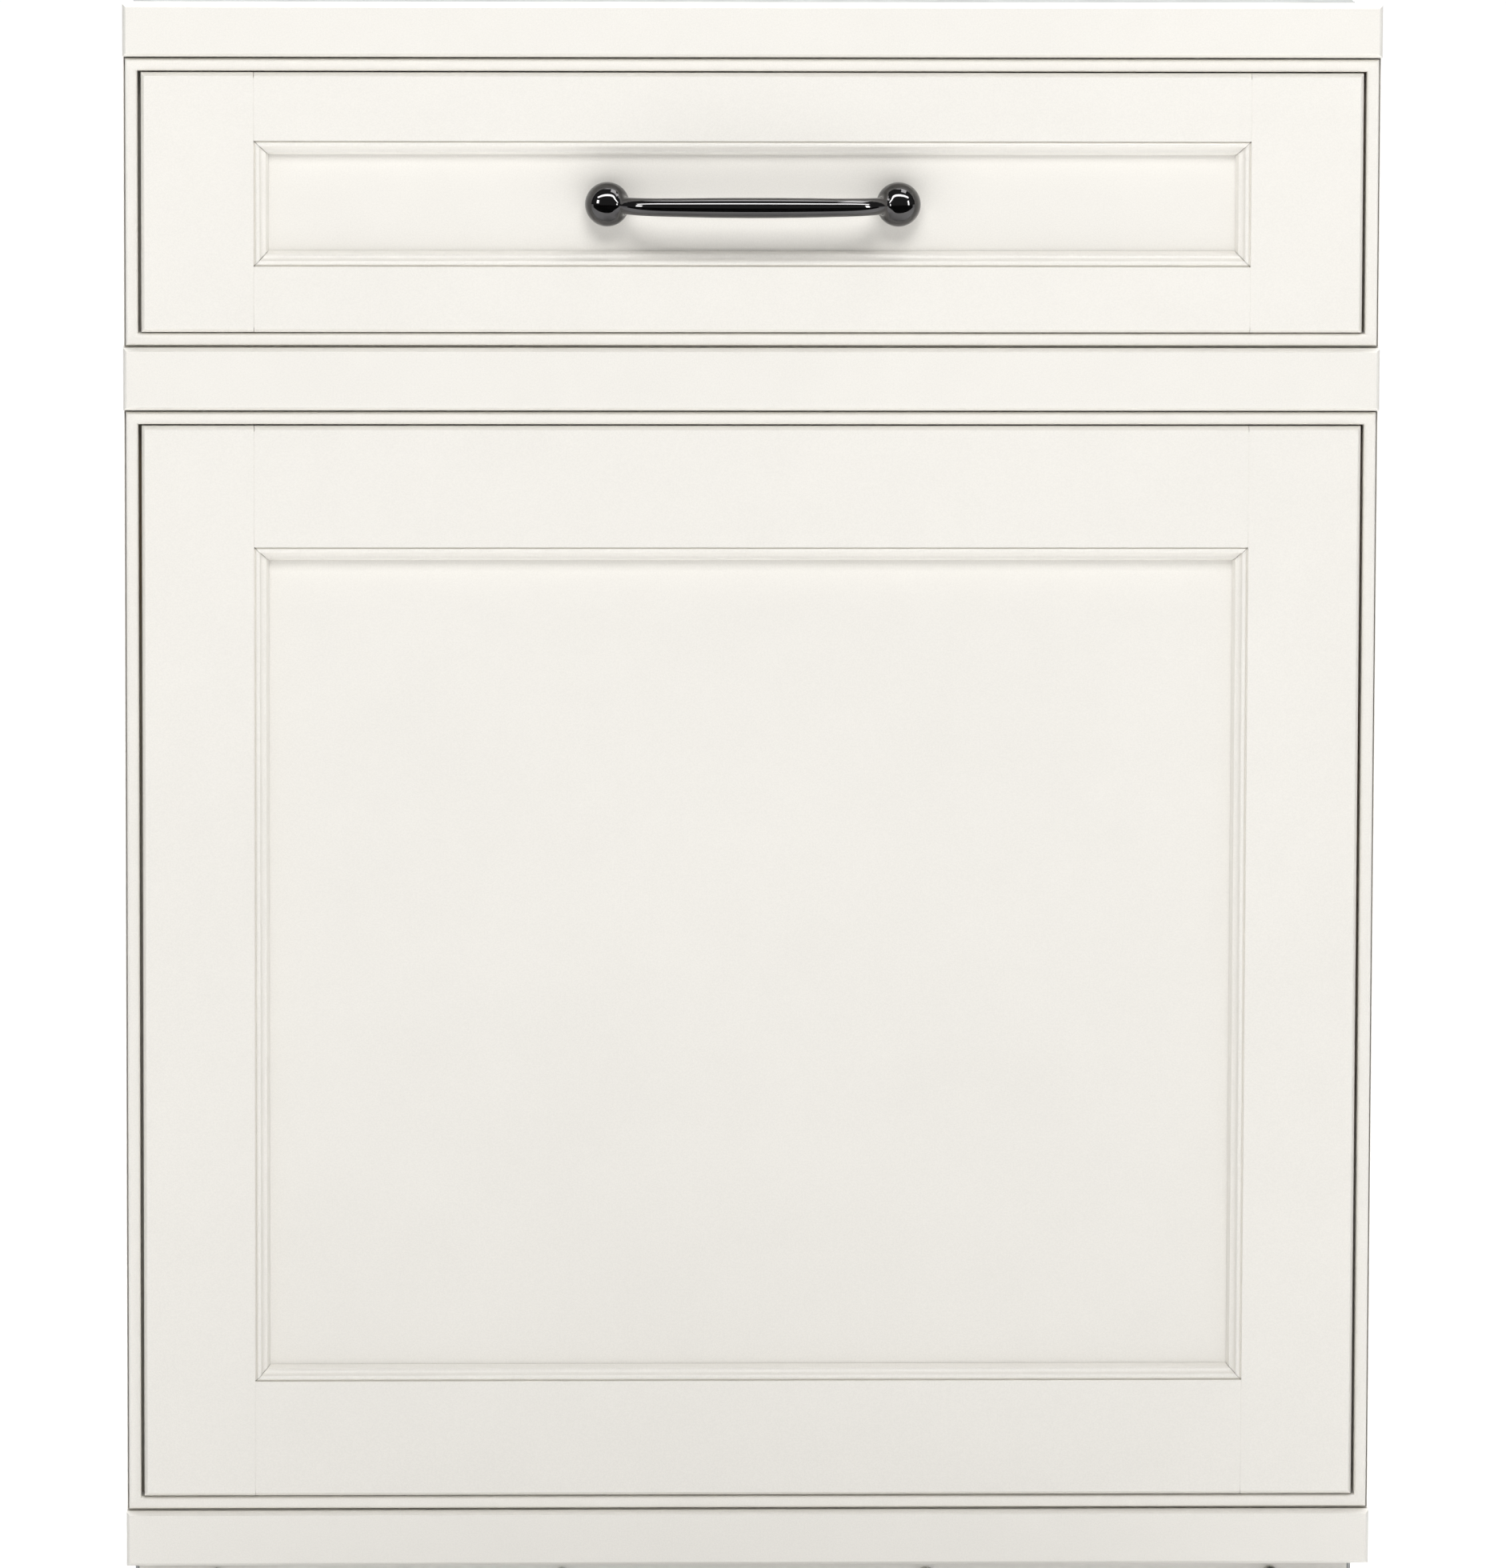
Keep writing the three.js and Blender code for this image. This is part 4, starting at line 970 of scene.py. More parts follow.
def tangent_angle(start, end):
    """The heading, on both wheels, of the outside line that joins them."""
    run = end[0] - start[0]
    length = run.length
    return math.atan2(run.y, run.x) - math.pi / 2 + math.asin((start[1] - end[1]) / length)


def chain_route():
    """Points along the chain's pitch line, a link apart, round the three sprockets."""
    wheels = []
    for name, teeth in (
        ("screw_sprocket_left", 18),
        ("screw_sprocket_right", 18),
        ("drive_sprocket", 9),
    ):
        low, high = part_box(name)
        pitch_radius = CHAIN_PITCH / (2 * math.sin(math.pi / teeth))
        wheels.append((Vector(((low.x + high.x) / 2, (low.y + high.y) / 2)), pitch_radius))
    line = []
    for i, (centre, radius) in enumerate(wheels):
        start = tangent_angle(wheels[i - 1], wheels[i])
        end = tangent_angle(wheels[i], wheels[(i + 1) % 3])
        while end < start:
            end += 2 * math.pi
        steps = 40
        for k in range(steps + 1):
            angle = start + (end - start) * k / steps
            line.append(centre + Vector((math.cos(angle), math.sin(angle))) * radius)
    line.append(line[0])
    lengths = [0.0]
    for a, b in zip(line, line[1:]):
        lengths.append(lengths[-1] + (b - a).length)
    links = 2 * round(lengths[-1] / CHAIN_PITCH / 2)
    route = []
    at = 0
    for link in range(links):
        want = lengths[-1] * link / links
        while lengths[at + 1] < want:
            at += 1
        share = (want - lengths[at]) / max(lengths[at + 1] - lengths[at], 1e-9)
        route.append(line[at] * (1 - share) + line[at + 1] * share)
    return route


def drive_chain():
    """A roller chain: inner and outer links in turn, with a roller and a pin at every joint."""
    low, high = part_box("drive_chain")
    middle = (low.z + high.z) / 2
    route = chain_route()
    form = Form()
    waist, cheek = 2.1 * MM, 3.4 * MM
    for i, point in enumerate(route):
        after = route[(i + 1) % len(route)]
        run = (after - point).normalized()
        side = Vector((-run.y, run.x))
        outline = []
        for end, sign in ((after, 1), (point, -1)):
            for k in range(7):
                angle = math.radians(-75 + 25 * k)
                outline.append(end + (run * math.cos(angle) + side * math.sin(angle)) * cheek * sign)
            halfway = (point + after) / 2
            outline.append(halfway + side * waist * sign)
        levels = (1.75 * MM, 2.75 * MM) if i % 2 else (0.7 * MM, 1.7 * MM)
        for sign in (-1, 1):
            form.skin([[(p.x, p.y, middle + sign * level) for p in outline] for level in levels])
        form.turn(
            [(ROLLER * 0.93, -0.65 * MM), (ROLLER * 0.93, 0.65 * MM)],
            (point.x, point.y, middle),
            sides=14,
        )
        form.turn([(1.5 * MM, -3.0 * MM), (1.5 * MM, 3.0 * MM)], (point.x, point.y, middle), sides=10)
    stand_in(form, "drive_chain", 0)


drive_chain()

# ---- bearings, gearbox and motor


def thrust_bearing(side):
    """A flanged bearing under the deck: its turned housing and four bolt heads."""
    name = "thrust_bearing_" + side
    low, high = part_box(name)
    centre = Vector(((low.x + high.x) / 2, (low.y + high.y) / 2, 0))
    bore, radius = 9.9 * MM, (high.x - low.x) / 2
    form = Form()
    form.turn(
        [
            (bore, low.z), (16 * MM, low.z), (18 * MM, low.z + 0.6 * MM), (19.4 * MM, low.z + 3 * MM),
            (20 * MM, high.z - 4.4 * MM), (
                radius - 0.6 * MM,
                high.z - 3.9 * MM,
            ), (radius, high.z - 3.3 * MM),
            (radius, high.z - 0.4 * MM), (radius - 0.4 * MM, high.z), (bore, high.z),
        ],
        centre, sides=56, closed=True,
    )
    for k in range(4):
        angle = math.pi / 4 + math.pi / 2 * k
        hexagon_head(
            form,
            centre + Vector((
                21.6 * MM * math.cos(angle),
                21.6 * MM * math.sin(angle),
                high.z - 3.6 * MM,
            )),
            "-Z", 1.9 * MM, 1.6 * MM, False,
        )
    stand_in(form, name, 0.0002)


for side in ("left", "right"):
    thrust_bearing(side)


def gearbox():
    """A cast housing with a bolted lid, ribs and four lugs."""
    low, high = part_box("gearbox")
    form = Form()
    lid = high.z - 11 * MM
    inset = Vector((5 * MM, 5 * MM, 0))
    form.block(low + inset, (high.x - inset.x, high.y - inset.y, lid - 0.6 * MM), 9 * MM, 5, "Z")
    form.block(
        (low.x + 2 * MM, low.y + 2 * MM, lid - 5 * MM),
        (high.x - 2 * MM, high.y - 2 * MM, lid),
        10 * MM,
        5,
        "Z",
    )
    form.block(
        (low.x + 2 * MM, low.y + 2 * MM, lid + 0.5 * MM),
        (high.x - 2 * MM, high.y - 2 * MM, high.z - 3 * MM),
        10 * MM,
        5,
        "Z",
    )
    form.turn(
        [(47 * MM, lid), (47 * MM, high.z - 0.6 * MM), (46 * MM, high.z)],
        ((low.x + high.x) / 2, (low.y + high.y) / 2, 0), sides=64,
    )
    for x in (-1, 1):
        cx = x * (high.x - 9 * MM)
        for cy in (low.y + 9 * MM, high.y - 9 * MM):
            hexagon_head(form, (cx, cy, high.z - 3 * MM), "+Z", 4.4 * MM, 3.2 * MM)
            form.block(
                (cx - 9 * MM, cy - 9 * MM, low.z),
                (cx + 9 * MM, cy + 9 * MM, low.z + 8 * MM),
                5 * MM,
                4,
                "Z",
            )
    ribs = 5
    for k in range(ribs):
        across = -30 * MM + 15 * MM * k
        mid = (low.y + high.y) / 2 + across
        form.block(
            (low.x + 1.5 * MM, mid - 1.6 * MM, low.z + 6 * MM),
            (low.x + 6 * MM, mid + 1.6 * MM, lid - 4 * MM),
            0.8 * MM,
        )
        form.block(
            (high.x - 6 * MM, mid - 1.6 * MM, low.z + 6 * MM),
            (high.x - 1.5 * MM, mid + 1.6 * MM, lid - 4 * MM),
            0.8 * MM,
        )
        form.block(
            (across - 1.6 * MM, low.y + 1.5 * MM, low.z + 6 * MM),
            (across + 1.6 * MM, low.y + 6 * MM, lid - 4 * MM),
            0.8 * MM,
        )
    stand_in(form, "gearbox", 0.0004)


gearbox()


def drive_motor():
    """A finned induction motor with end bells, through bolts and a terminal box."""
    low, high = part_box("drive_motor")
    centre = Vector(((low.x + high.x) / 2, (low.y + high.y) / 2, 0))
    radius = (high.x - low.x) / 2
    body_low, body_high = low.z + 24 * MM, high.z - 28 * MM
    form = Form()
    form.turn(
        [
            (44 * MM, low.z), (46 * MM, low.z + 1 * MM), (51 * MM, low.z + 9 * MM), (
                56 * MM,
                low.z + 18 * MM,
            ),
            (
                radius - 2 * MM,
                body_low - 3 * MM,
            ), (radius - 1 * MM, body_low - 1 * MM), (radius - 1 * MM, body_low + 2 * MM),
            (radius - 5 * MM, body_low + 3 * MM), (
                radius - 5 * MM,
                body_high - 3 * MM,
            ), (radius - 1 * MM, body_high - 2 * MM),
            (
                radius - 1 * MM,
                body_high + 1 * MM,
            ), (radius - 3 * MM, body_high + 4 * MM), (52 * MM, high.z - 14 * MM),
            (
                41 * MM,
                high.z - 5.5 * MM,
            ), (30 * MM, high.z - 3 * MM), (16 * MM, high.z - 2 * MM), (14 * MM, high.z - 1 * MM),
            (12 * MM, high.z),
        ],
        centre, sides=72,
    )
    fins = 36
    for k in range(fins):
        angle = 2 * math.pi * k / fins
        radial = Vector((math.cos(angle), math.sin(angle), 0))
        across = Vector((-radial.y, radial.x, 0)) * 1.0 * MM
        inner, outer = centre + radial * (radius - 6 * MM), centre + radial * (radius - 0.4 * MM)
        rings = []
        for z in (body_low + 2 * MM, body_high - 2 * MM):
            up = Vector((0, 0, z))
            rings.append([
                inner - across + up,
                outer - across * 0.7 + up,
                outer + across * 0.7 + up,
                inner + across + up,
            ])
        form.skin(rings)
    for k in range(4):
        angle = math.pi / 4 + math.pi / 2 * k
        spot = centre + Vector((43 * MM * math.cos(angle), 43 * MM * math.sin(angle), high.z - 12 * MM))
        hexagon_head(form, spot, "+Z", 4 * MM, 5 * MM)
    stand_in(form, "drive_motor", 0.0003)
    box = Form()
    box.block(
        (centre.x - 52 * MM, centre.y - radius - 0.0 * MM, body_low + 26 * MM),
        (centre.x - 18 * MM, centre.y - radius + 26 * MM, body_high - 26 * MM), 3 * MM, 4,
    )
    settle(box.piece("motor_terminal_box"), "black_plastic", "cabinet", edge=0)


drive_motor()


# ---- the drawer


def drawer_inner_front():
    """The steel front behind the board: pressed fields."""
    low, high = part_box("drawer_inner_front")
    form = Form()
    press = (36 * MM, 18 * MM, 7 * MM, 3 * MM)

    def place(u, v, depth):
        return Vector((u, low.y + depth, v))

    split = low.z + 0.5 * (high.z - low.z)
    for u in ((low.x, 0.0), (0.0, high.x)):
        form.cell(u, (low.z, split), press, place)
        form.cell(u, (split, high.z), press, place)
    piece = sheet_piece(form, "drawer_inner_front_detail", 1.2 * MM, (0, 1, 0))
    settle(piece, SLOT_OF["drawer_inner_front"], "drawer", "drawer_inner_front", edge=0.0002)


drawer_inner_front()


def carriage_details():
    """Rivets and stiffening ribs on the drawer's carriage."""
    low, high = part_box("drawer_carriage")
    sheet = 1.5 * MM
    ribs = Form()
    for side in (-1, 1):
        inner = side * (high.x - sheet)
        for y in (low.y + 110 * MM, low.y + 215 * MM, low.y + 320 * MM):
            a, b = sorted((inner, inner - side * 3 * MM))
            ribs.block((a, y - 9 * MM, low.z + 8 * MM), (b, y + 9 * MM, 160 * MM), 2.6 * MM, 4, "Z")
        a, b = sorted((inner, inner - side * 8 * MM))
        ribs.block((a, low.y + 54 * MM, 168.5 * MM), (b, high.y - 1.5 * MM, 170 * MM), 0.4 * MM)
    settle(ribs.piece("carriage_ribs"), SLOT_OF["drawer_carriage"], "drawer", edge=0.0002)
    rivets = Form()
    for side in (-1, 1):
        inner = side * (high.x - sheet)
        sign = "-" if side > 0 else "+"
        for z in (200, 270, 340, 410, 480):
            screw_head(rivets, (inner, low.y + 11 * MM, z * MM), sign + "X", 3.6 * MM, 1.8 * MM)
        for y in (low.y + 60 * MM, low.y + 165 * MM, low.y + 268 * MM, low.y + 372 * MM):
            screw_head(rivets, (inner, y, 140.5 * MM), sign + "X", 3.8 * MM, 1.6 * MM)
    settle(rivets.piece("carriage_rivets"), "zinc_fastener", "drawer", edge=0)


carriage_details()


def rounded_loop(x0, x1, y0, y1, radii, steps=7):
    """An anticlockwise rectangle whose four corners have their own radii."""
    corners = ((x1, y1, 0), (x0, y1, 1), (x0, y0, 2), (x1, y0, 3))
    points = []
    for (x, y, quarter), radius in zip(corners, radii):
        cx = x - radius if x == x1 else x + radius
        cy = y - radius if y == y1 else y + radius
        for k in range(steps + 1):
            angle = math.pi / 2 * (quarter + k / steps)
            points.append((cx + radius * math.cos(angle), cy + radius * math.sin(angle)))
    return points


def refuse_container():
    """A pressed bin with rounded corners, a rolled rim and ribs. Its right side is low, for the gate."""
    low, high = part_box("refuse_container")
    gate_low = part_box("container_gate")[0]
    wall = 2 * MM
    lip = 172.3 * MM
    right = high.x
    form = Form()
    round_left, sharp = 26 * MM, 3 * MM
    loop = rounded_loop(low.x, right, low.y, high.y, (sharp, round_left, round_left, sharp))
    base = rounded_loop(low.x + 6 * MM, right - 2 * MM, low.y + 6 * MM, high.y - 6 * MM,
                        (sharp, round_left - 6 * MM, round_left - 6 * MM, sharp))
    inner = rounded_loop(low.x + wall, right - wall, low.y + wall, high.y - wall,
                         (sharp - 1.5 * MM, round_left - wall, round_left - wall, sharp - 1.5 * MM))
    inner_base = rounded_loop(low.x + 6 * MM + wall, right - 2 * MM - wall, low.y + 6 * MM + wall,
                              high.y - 6 * MM - wall, (
                                  1.5 * MM,
                                  round_left - 8 * MM,
                                  round_left - 8 * MM,
                                  1.5 * MM,
                              ))

    def ring(points, z):
        return [Vector((x, y, z)) for x, y in points]

    form.skin([
        ring(base, low.z), ring(loop, low.z + 6 * MM), ring(loop, lip), ring(inner, lip),
        ring(inner, low.z + 6 * MM + wall), ring(inner_base, low.z + wall),
    ])
    end = gate_low.x - 0.6 * MM
    count = len(loop)
    quarter = count // 4
    chosen = range(quarter, 3 * quarter)
    outer_half = [(end, high.y)] + [loop[i] for i in chosen] + [(end, low.y)]
    inner_half = [(end, low.y + wall)] + [inner[i] for i in reversed(chosen)] + [(end, high.y - wall)]
    form.prism(outer_half + inner_half, "Z", lip, high.z - 3 * MM)
    rim_radius = 3.2 * MM
    middle = [((a[0] + b[0]) / 2, (a[1] + b[1]) / 2) for a, b in zip(
        [(end, high.y)] + [loop[i] for i in chosen] + [(end, low.y)],
        [(end, high.y - wall)] + [inner[i] for i in chosen] + [(end, low.y + wall)],
    )]
    route = [Vector((x, y, high.z - rim_radius)) for x, y in middle]
    form.sweep(route, [rim_radius] * len(route), 16)
    for k in range(5):
        x = low.x + 62 * MM + 72 * MM * k
        for y0, y1 in ((low.y - 1.6 * MM, low.y + 0.4 * MM), (high.y - 0.4 * MM, high.y + 1.6 * MM)):
            form.block(
                (x - 7 * MM, y0, low.z + 30 * MM),
                (x + 7 * MM, y1, high.z - 40 * MM),
                1.5 * MM,
                4,
            )
    for k in range(4):
        y = low.y + 60 * MM + (high.y - low.y - 120 * MM) * k / 3
        form.block(
            (low.x - 1.6 * MM, y - 7 * MM, low.z + 30 * MM),
            (low.x + 0.4 * MM, y + 7 * MM, high.z - 40 * MM),
            1.5 * MM,
            4,
        )
    stand_in(form, "refuse_container", 0.0002)


refuse_container()


def container_gate():
    """The gate: a pressed panel, its hinge knuckles and a finger latch."""
    low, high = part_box("container_gate")
    form = Form()

    def place(u, v, depth):
        return Vector((high.x - depth, u, v))

    thirds = [low.y + (high.y - low.y) * k / 3 for k in range(4)]
    for u in zip(thirds, thirds[1:]):
        form.cell(u, (low.z, high.z), (22 * MM, 16 * MM, 5 * MM, 2.2 * MM), place)
    piece = sheet_piece(form, "container_gate_detail", 1.2 * MM, (-1, 0, 0))
    settle(piece, SLOT_OF["container_gate"], "container_gate", "container_gate", edge=0.0002)
    joint = [j for j in frame["joints"] if j["name"] == "container_gate_tilt"][0]
    axis = Vector(joint["pos_m"])
    pin_x = high.x + 1.6 * MM
    knuckle = 2.2 * MM
    count = 9
    run = (high.y - low.y - 12 * MM) / count
    on_gate, on_bin = Form(), Form()
    for k in range(count):
        start = low.y + 6 * MM + run * k
        target = on_gate if k % 2 else on_bin
        target.turn(
            [(knuckle - 0.2 * MM, start + 0.4 * MM), (knuckle, start + 0.8 * MM),
             (knuckle, start + run - 0.8 * MM), (knuckle - 0.2 * MM, start + run - 0.4 * MM)],
            (pin_x, 0, axis.z - 1 * MM), "Y", 20,
        )
    settle(on_gate.piece("gate_knuckles"), "slide_zinc", "container_gate", edge=0)
    on_bin.turn(
        [(1.1 * MM, low.y + 4 * MM), (1.1 * MM, high.y - 4 * MM)],
        (pin_x, 0, axis.z - 1 * MM),
        "Y",
        14,
    )
    settle(on_bin.piece("gate_hinge_pin"), "slide_zinc", "drawer", edge=0)
    latch = Form()
    middle = (low.y + high.y) / 2
    latch.block(
        (high.x, middle - 16 * MM, high.z - 34 * MM),
        (high.x + 1.6 * MM, middle + 16 * MM, high.z - 8 * MM),
        0.7 * MM,
    )
    latch.block(
        (high.x + 0.8 * MM, middle - 11 * MM, high.z - 24 * MM),
        (high.x + 6 * MM, middle + 11 * MM, high.z - 20 * MM),
        1.2 * MM,
        4,
    )
    for k in (-1, 1):
        screw_head(
            latch,
            (high.x + 1.6 * MM, middle + k * 11 * MM, high.z - 13 * MM),
            "+X",
            2.4 * MM,
            1.2 * MM,
        )
    settle(latch.piece("gate_latch"), "zinc_fastener", "container_gate", edge=0)


container_gate()


def console_details():
    """Bezels round the buttons and the key, a lamp and two end screws."""
    low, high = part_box("control_console")
    form = Form()
    for name in ("start_button", "stop_button", "key_switch"):
        button_low, button_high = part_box(name)
        centre = ((button_low.x + button_high.x) / 2, (button_low.y + button_high.y) / 2, 0)
        radius = (button_high.x - button_low.x) / 2
        form.turn(
            [
                (
                    radius + 0.5 * MM,
                    high.z - 0.5 * MM,
                ), (radius + 4 * MM, high.z - 0.5 * MM), (radius + 4 * MM, high.z + 0.4 * MM),
                (
                    radius + 3.2 * MM,
                    high.z + 1.2 * MM,
                ), (radius + 1.4 * MM, high.z + 1.4 * MM), (radius + 0.5 * MM, high.z + 0.9 * MM),
            ],
            centre, sides=56, closed=True,
        )
    settle(form.piece("console_bezels"), "black_plastic", "drawer", edge=0)
    lamp = Form()
    spot = (4 * MM, (low.y + high.y) / 2, high.z)
    lamp.turn(
        [
            (4 * MM, -0.5 * MM),
            (4 * MM, 0.6 * MM),
            (3.3 * MM, 1.6 * MM),
            (2 * MM, 2.3 * MM),
            (0.4 * MM, 2.6 * MM),
        ],
        spot,
        sides=32,
    )
    settle(lamp.piece("console_lamp"), "button_red", "drawer", edge=0)
    for x in (-1, 1):
        heads = Form()
        screw_head(
            heads,
            (x * (high.x - 9 * MM), (low.y + high.y) / 2, high.z),
            "+Z",
            3.2 * MM,
            1.5 * MM,
        )
        settle(
            heads.piece("console_screw_" + ("left" if x < 0 else "right")),
            "zinc_fastener",
            "drawer",
            edge=0,
        )


console_details()


def push_button(name):
    """A round key with a dished top and a grip ring."""
    low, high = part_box(name)
    centre = Vector(((low.x + high.x) / 2, (low.y + high.y) / 2, 0))
    radius = (high.x - low.x) / 2
    form = Form()
    form.turn(
        [
            (radius - 0.5 * MM, low.z), (radius, low.z + 0.5 * MM), (radius, high.z - 1.6 * MM), (
                radius - 0.25 * MM,
                high.z - 0.8 * MM,
            ),
            (
                radius - 0.9 * MM,
                high.z - 0.15 * MM,
            ), (radius - 1.6 * MM, high.z), (radius - 2.3 * MM, high.z - 0.2 * MM),
            (
                radius - 3.2 * MM,
                high.z - 0.75 * MM,
            ), (radius - 5 * MM, high.z - 1.15 * MM), (0.6 * MM, high.z - 1.3 * MM),
        ],
        centre, sides=64,
    )
    stand_in(form, name, 0)


push_button("start_button")
push_button("stop_button")


def key_switch():
    """The lock's barrel: a rounded rim and a face with a real key slot."""
    low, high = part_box("key_switch")
    centre = Vector(((low.x + high.x) / 2, (low.y + high.y) / 2, 0))
    radius = (high.x - low.x) / 2
    form = Form()
    slot_half, slot_wide, floor = 5 * MM, 1 * MM, high.z - 4 * MM
    sides = 48

    def circle(size, z):
        return [
            centre + Vector((
                size * math.cos(2 * math.pi * k / sides),
                size * math.sin(2 * math.pi * k / sides),
                z,
            ))
            for k in range(sides)
        ]

    def slot_ring(z):
        points = []
        for k in range(sides):
            angle = 2 * math.pi * k / sides
            x, y = math.cos(angle), math.sin(angle)
            reach = min(slot_half / max(abs(x), 1e-6), slot_wide / max(abs(y), 1e-6))
            points.append(centre + Vector((x * reach, y * reach, z)))
        return points

    form.skin([
        circle(radius * 0.9, low.z), circle(
            radius * 0.9,
            high.z - 5 * MM,
        ), circle(radius, high.z - 4.6 * MM),
        circle(radius, high.z - 1.2 * MM), circle(
            radius - 0.8 * MM,
            high.z - 0.4 * MM,
        ), circle(radius - 1.6 * MM, high.z),
        circle(radius - 2.4 * MM, high.z - 0.1 * MM), circle(radius - 2.8 * MM, high.z - 0.7 * MM),
        slot_ring(high.z - 0.7 * MM), slot_ring(floor),
    ])
    stand_in(form, "key_switch", 0.0001)


key_switch()


def slide_balls(side):
    """The caged balls between the members of one telescopic slide, above and below its web."""
    name = "slide_middle_" + side
    low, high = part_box(name)
    sign = -1 if side == "left" else 1
    balls, cage = Form(), Form()
    web = (low.x + high.x) / 2
    for z in (low.z + 4.3 * MM, high.z - 4.3 * MM):
        for end in (low.y + 30 * MM, high.y - 130 * MM):
            for k in range(7):
                balls.ball((web + sign * 2.6 * MM, end + 15 * MM * k, z), 1.3 * MM)
            a, b = sorted((web + sign * 1.9 * MM, web + sign * 3.2 * MM))
            cage.block((a, end - 8 * MM, z - 0.5 * MM), (b, end + 98 * MM, z + 0.5 * MM), 0.25 * MM, 2)
    settle(balls.piece("slide_balls_" + side), "key_metal", BODY_OF[name], edge=0)
    settle(cage.piece("slide_cage_" + side), "zinc_fastener", BODY_OF[name], edge=0)


for side in ("left", "right"):
    slide_balls(side)


# ---- the ram


def ram_details():
    """The ram's pan with rounded corners, its ribs, the bronze nuts, gussets and bolts."""
    low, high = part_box("ram_pan")
    cross_low, cross_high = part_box("ram_crosshead")
    wall = 3 * MM
    corner = 14 * MM
    loop = rounded_loop(low.x, high.x, low.y, high.y, (corner,) * 4)
    heel = rounded_loop(
        low.x + 5 * MM,
        high.x - 5 * MM,
        low.y + 5 * MM,
        high.y - 5 * MM,
        (corner - 5 * MM,) * 4,
    )
    inner = rounded_loop(low.x + wall, high.x - wall, low.y + wall, high.y - wall, (corner - wall,) * 4)
    well = rounded_loop(
        low.x + 7 * MM,
        high.x - 7 * MM,
        low.y + 7 * MM,
        high.y - 7 * MM,
        (corner - 7 * MM,) * 4,
    )

    def ring(points, z):
        return [Vector((x, y, z)) for x, y in points]

    pan = Form()
    pan.skin([
        ring(heel, low.z), ring(loop, low.z + 5 * MM), ring(loop, high.z), ring(inner, high.z),
        ring(inner, low.z + 5 * MM + wall), ring(well, low.z + wall),
    ])
    stand_in(pan, "ram_pan", 0.0004)
    ribs = Form()
    for k in (-1, 1):
        for across in (150 * MM, 180 * MM):
            ribs.block(
                (k * across - 1.5 * MM, low.y + 9 * MM, low.z + wall),
                (k * across + 1.5 * MM, high.y - 9 * MM, low.z + 20 * MM),
                0.6 * MM,
            )
        y = (low.y + high.y) / 2 + k * 120 * MM
        ribs.block(
            (-146 * MM, y - 1.5 * MM, low.z + wall),
            (146 * MM, y + 1.5 * MM, low.z + 20 * MM),
            0.6 * MM,
        )
    middle = (cross_low.y + cross_high.y) / 2
    for k in (-1, 1):
        gusset = [
            (k * 120 * MM, 764 * MM),
            (k * 190 * MM, 764 * MM),
            (k * 190 * MM, 758 * MM),
            (k * 126 * MM, 680 * MM),
            (k * 120 * MM, 680 * MM),
        ]
        for y in (middle - 18 * MM, middle + 14 * MM):
            ribs.prism(gusset, "Y", y, y + 4 * MM)
    for y in (cross_low.y, cross_high.y):
        inward = 1 if y == cross_low.y else -1
        a, b = sorted((y, y + inward * 2.4 * MM))
        ribs.block(
            (-120 * MM, a - 0.4 * MM, low.z + 3.4 * MM),
            (120 * MM, b, low.z + 8 * MM),
            1.2 * MM,
            3,
        )
    settle(ribs.piece("ram_ribs"), "frame_paint", "ram", edge=0.0003)
    nuts, bolts = Form(), Form()
    for k in (-1, 1):
        screw_x = k * (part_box("power_screw_right")[0].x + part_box("power_screw_right")[1].x) / 2
        top = cross_high.z
        nuts.turn(
            [(
                10.1 * MM,
                top - 0.2 * MM,
            ), (19.4 * MM, top - 0.2 * MM), (20 * MM, top + 0.4 * MM), (20 * MM, top + 4.4 * MM),
             (19.4 * MM, top + 5 * MM), (15 * MM, top + 5 * MM), (14.4 * MM, top + 8 * MM), (
                 13.8 * MM,
                 top + 8.6 * MM,
             ), (10.1 * MM, top + 8.6 * MM)],
            (screw_x, middle, 0), sides=56, closed=True,
        )
        nuts.turn(
            [
                (10.1 * MM, 748 * MM),
                (14 * MM, 748 * MM),
                (15 * MM, 749 * MM),
                (15 * MM, 765.2 * MM),
                (10.1 * MM, 765.2 * MM),
            ],
            (screw_x, middle, 0), sides=56, closed=True,
        )
        for quarter in range(4):
            angle = math.pi / 4 + math.pi / 2 * quarter
            hexagon_head(
                bolts,
                (
                    screw_x + 17.2 * MM * math.cos(angle),
                    middle + 17.2 * MM * math.sin(angle),
                    top + 5 * MM,
                ),
                "+Z",
                2.2 * MM,
                2.2 * MM,
                False,
            )
        for across in (40 * MM, 90 * MM):
            hexagon_head(bolts, (k * across, middle, top), "+Z", 6 * MM, 4.2 * MM)
    settle(nuts.piece("ram_nuts"), "bearing_bronze", "ram", edge=0.0002)
    settle(bolts.piece("ram_bolts"), "zinc_fastener", "ram", edge=0)


ram_details()


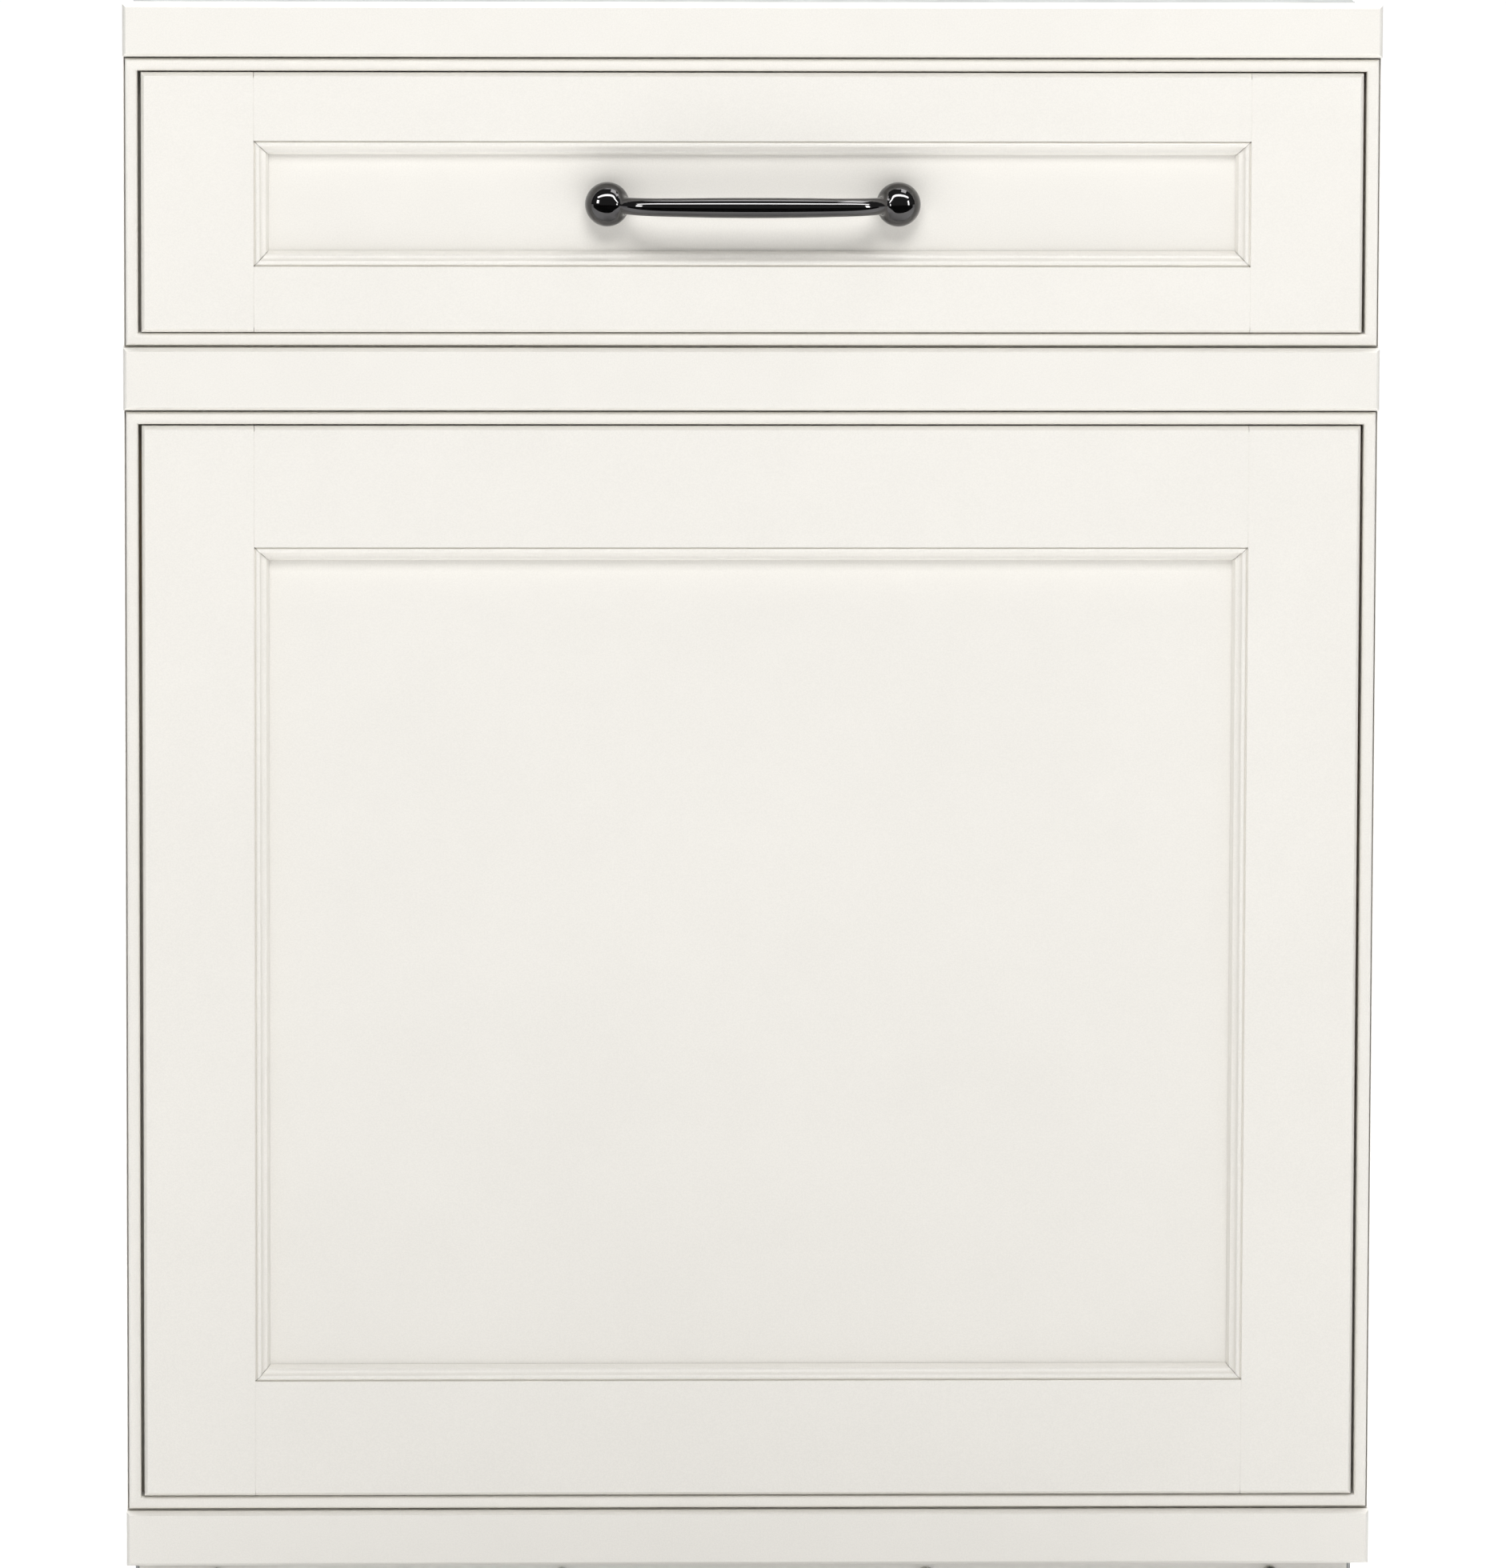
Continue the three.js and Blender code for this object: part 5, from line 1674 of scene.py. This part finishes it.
def beam_details():
    """Bearing blocks and bolts on the top beam."""
    low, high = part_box("top_beam")
    blocks, bolts = Form(), Form()
    middle = (low.y + high.y) / 2
    for k in (-1, 1):
        screw_x = k * (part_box("power_screw_right")[0].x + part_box("power_screw_right")[1].x) / 2
        blocks.turn(
            [(7.4 * MM, high.z), (17 * MM, high.z), (
                17 * MM,
                high.z + 1.0 * MM,
            ), (13 * MM, high.z + 1.0 * MM),
             (12.4 * MM, high.z + 0.9 * MM), (7.4 * MM, high.z + 0.9 * MM)],
            (screw_x, middle, 0), sides=48, closed=True,
        )
        for across in (-24 * MM, 24 * MM):
            spot = k * 215 * MM
            hexagon_head(bolts, (spot, middle + across * 0.7, high.z), "+Z", 6 * MM, 4.2 * MM)
            hexagon_head(bolts, (k * 60 * MM, middle + across * 0.7, high.z), "+Z", 6 * MM, 4.2 * MM)
    settle(blocks.piece("beam_bearings"), "bearing_bronze", "cabinet", edge=0)
    settle(bolts.piece("beam_bolts"), "zinc_fastener", "cabinet", edge=0)


beam_details()

# ---------------------------------------------------------------- camera, light and floor

FACE_LOW, FACE_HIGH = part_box("face_rail_bottom")[0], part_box("face_rail_top")[1]
AIM = Vector((0, FACE_LOW.y, (FACE_LOW.z + FACE_HIGH.z) / 2))
SENSOR = 36.0
FRAME_SIDE = 1960


def make_camera(azimuth, elevation, roll, distance, focal_pixels, shift):
    data = bpy.data.cameras.new("camera")
    camera = bpy.data.objects.new("camera", data)
    bpy.context.scene.collection.objects.link(camera)
    a = math.radians(azimuth)
    e = math.radians(elevation)
    back = Vector((math.sin(a) * math.cos(e), -math.cos(a) * math.cos(e), math.sin(e)))
    right = Vector((0, 0, 1)).cross(back).normalized()
    up = back.cross(right)
    turn = Matrix.Rotation(math.radians(roll), 3, back)
    right, up = turn @ right, turn @ up
    pose = Matrix((right, up, back)).transposed().to_4x4()
    pose.translation = AIM + back * distance
    camera.matrix_world = pose
    data.sensor_width = SENSOR
    data.lens = focal_pixels * SENSOR / FRAME_SIDE
    data.shift_x, data.shift_y = shift
    data.clip_end = 1000
    bpy.context.scene.camera = camera


make_camera(
    azimuth=-1.7,
    elevation=7.5,
    roll=0.193,
    distance=6.27,
    focal_pixels=16187,
    shift=(0.0013, 0.0045),
)


def area_light(name, place, target, size, power, color=(1, 1, 1)):
    data = bpy.data.lights.new(name, "AREA")
    data.shape = "RECTANGLE"
    data.size, data.size_y = size
    data.energy = power
    data.color = color
    light = bpy.data.objects.new(name, data)
    bpy.context.scene.collection.objects.link(light)
    light.location = place
    light.rotation_euler = (Vector(target) - Vector(place)).to_track_quat("-Z", "Y").to_euler()
    return light


def sun(name, direction, strength, spread):
    data = bpy.data.lights.new(name, "SUN")
    data.energy = strength
    data.angle = math.radians(spread)
    light = bpy.data.objects.new(name, data)
    bpy.context.scene.collection.objects.link(light)
    light.rotation_euler = (-Vector(direction)).to_track_quat("-Z", "Y").to_euler()


def studio():
    world = bpy.data.worlds.new("studio")
    bpy.context.scene.world = world
    world.use_nodes = True
    world.node_tree.nodes["Background"].inputs["Color"].default_value = (1, 1, 1, 1)
    world.node_tree.nodes["Background"].inputs["Strength"].default_value = 0.13
    sun("ceiling", (0.03, 0.6, 1), 3.5, 60)
    area_light("overhead softbox", (0.9, -0.4, 2.9), (0.2, -0.4, 0), (1.1, 0.8), 11)
    area_light("rim strip", (0, 1.7, 2.4), (0, -0.2, 0.8), (3.2, 0.16), 10)
    key = area_light("front key", (0, -4.2, 4.0), (0, -0.3, 0.6), (2.8, 1.6), 137)
    key.visible_glossy = False
    reflected = [
        area_light("front strip", (0, -1.25, 2.05), (0, -0.3, 0.5), (3.6, 0.3), 44),
        area_light("left softbox", (-1.9, -1.7, 1.4), (0, -0.3, 0.78), (0.5, 0.6), 14),
        area_light("right softbox", (1.9, -1.7, 1.15), (0, -0.3, 0.78), (0.3, 0.9), 13),
    ]
    for light in reflected:
        light.visible_diffuse = False
    bpy.ops.mesh.primitive_plane_add(
        size=1,
        location=(0, -1.15, 0.39),
        rotation=(math.radians(90), 0, 0),
    )
    card = bpy.context.object
    card.name = "black_card"
    card.scale = (8, 0.78, 1)
    card.data.materials.append(Look("black_card", (0.004, 0.004, 0.004), 0.9).material)
    card.visible_camera = card.visible_diffuse = card.visible_shadow = False
    bpy.ops.mesh.primitive_plane_add(size=400)
    floor = bpy.context.object
    floor.name = "floor"
    pale = Look("floor", (0.9, 0.9, 0.9), 0.8)
    pale.color(pale.mix(pale.noise(3, 3), (0.9, 0.9, 0.9), (0.93, 0.93, 0.93)))
    floor.data.materials.append(pale.material)
    bpy.context.scene.view_settings.view_transform = "Standard"


studio()

bpy.context.view_layer.update()
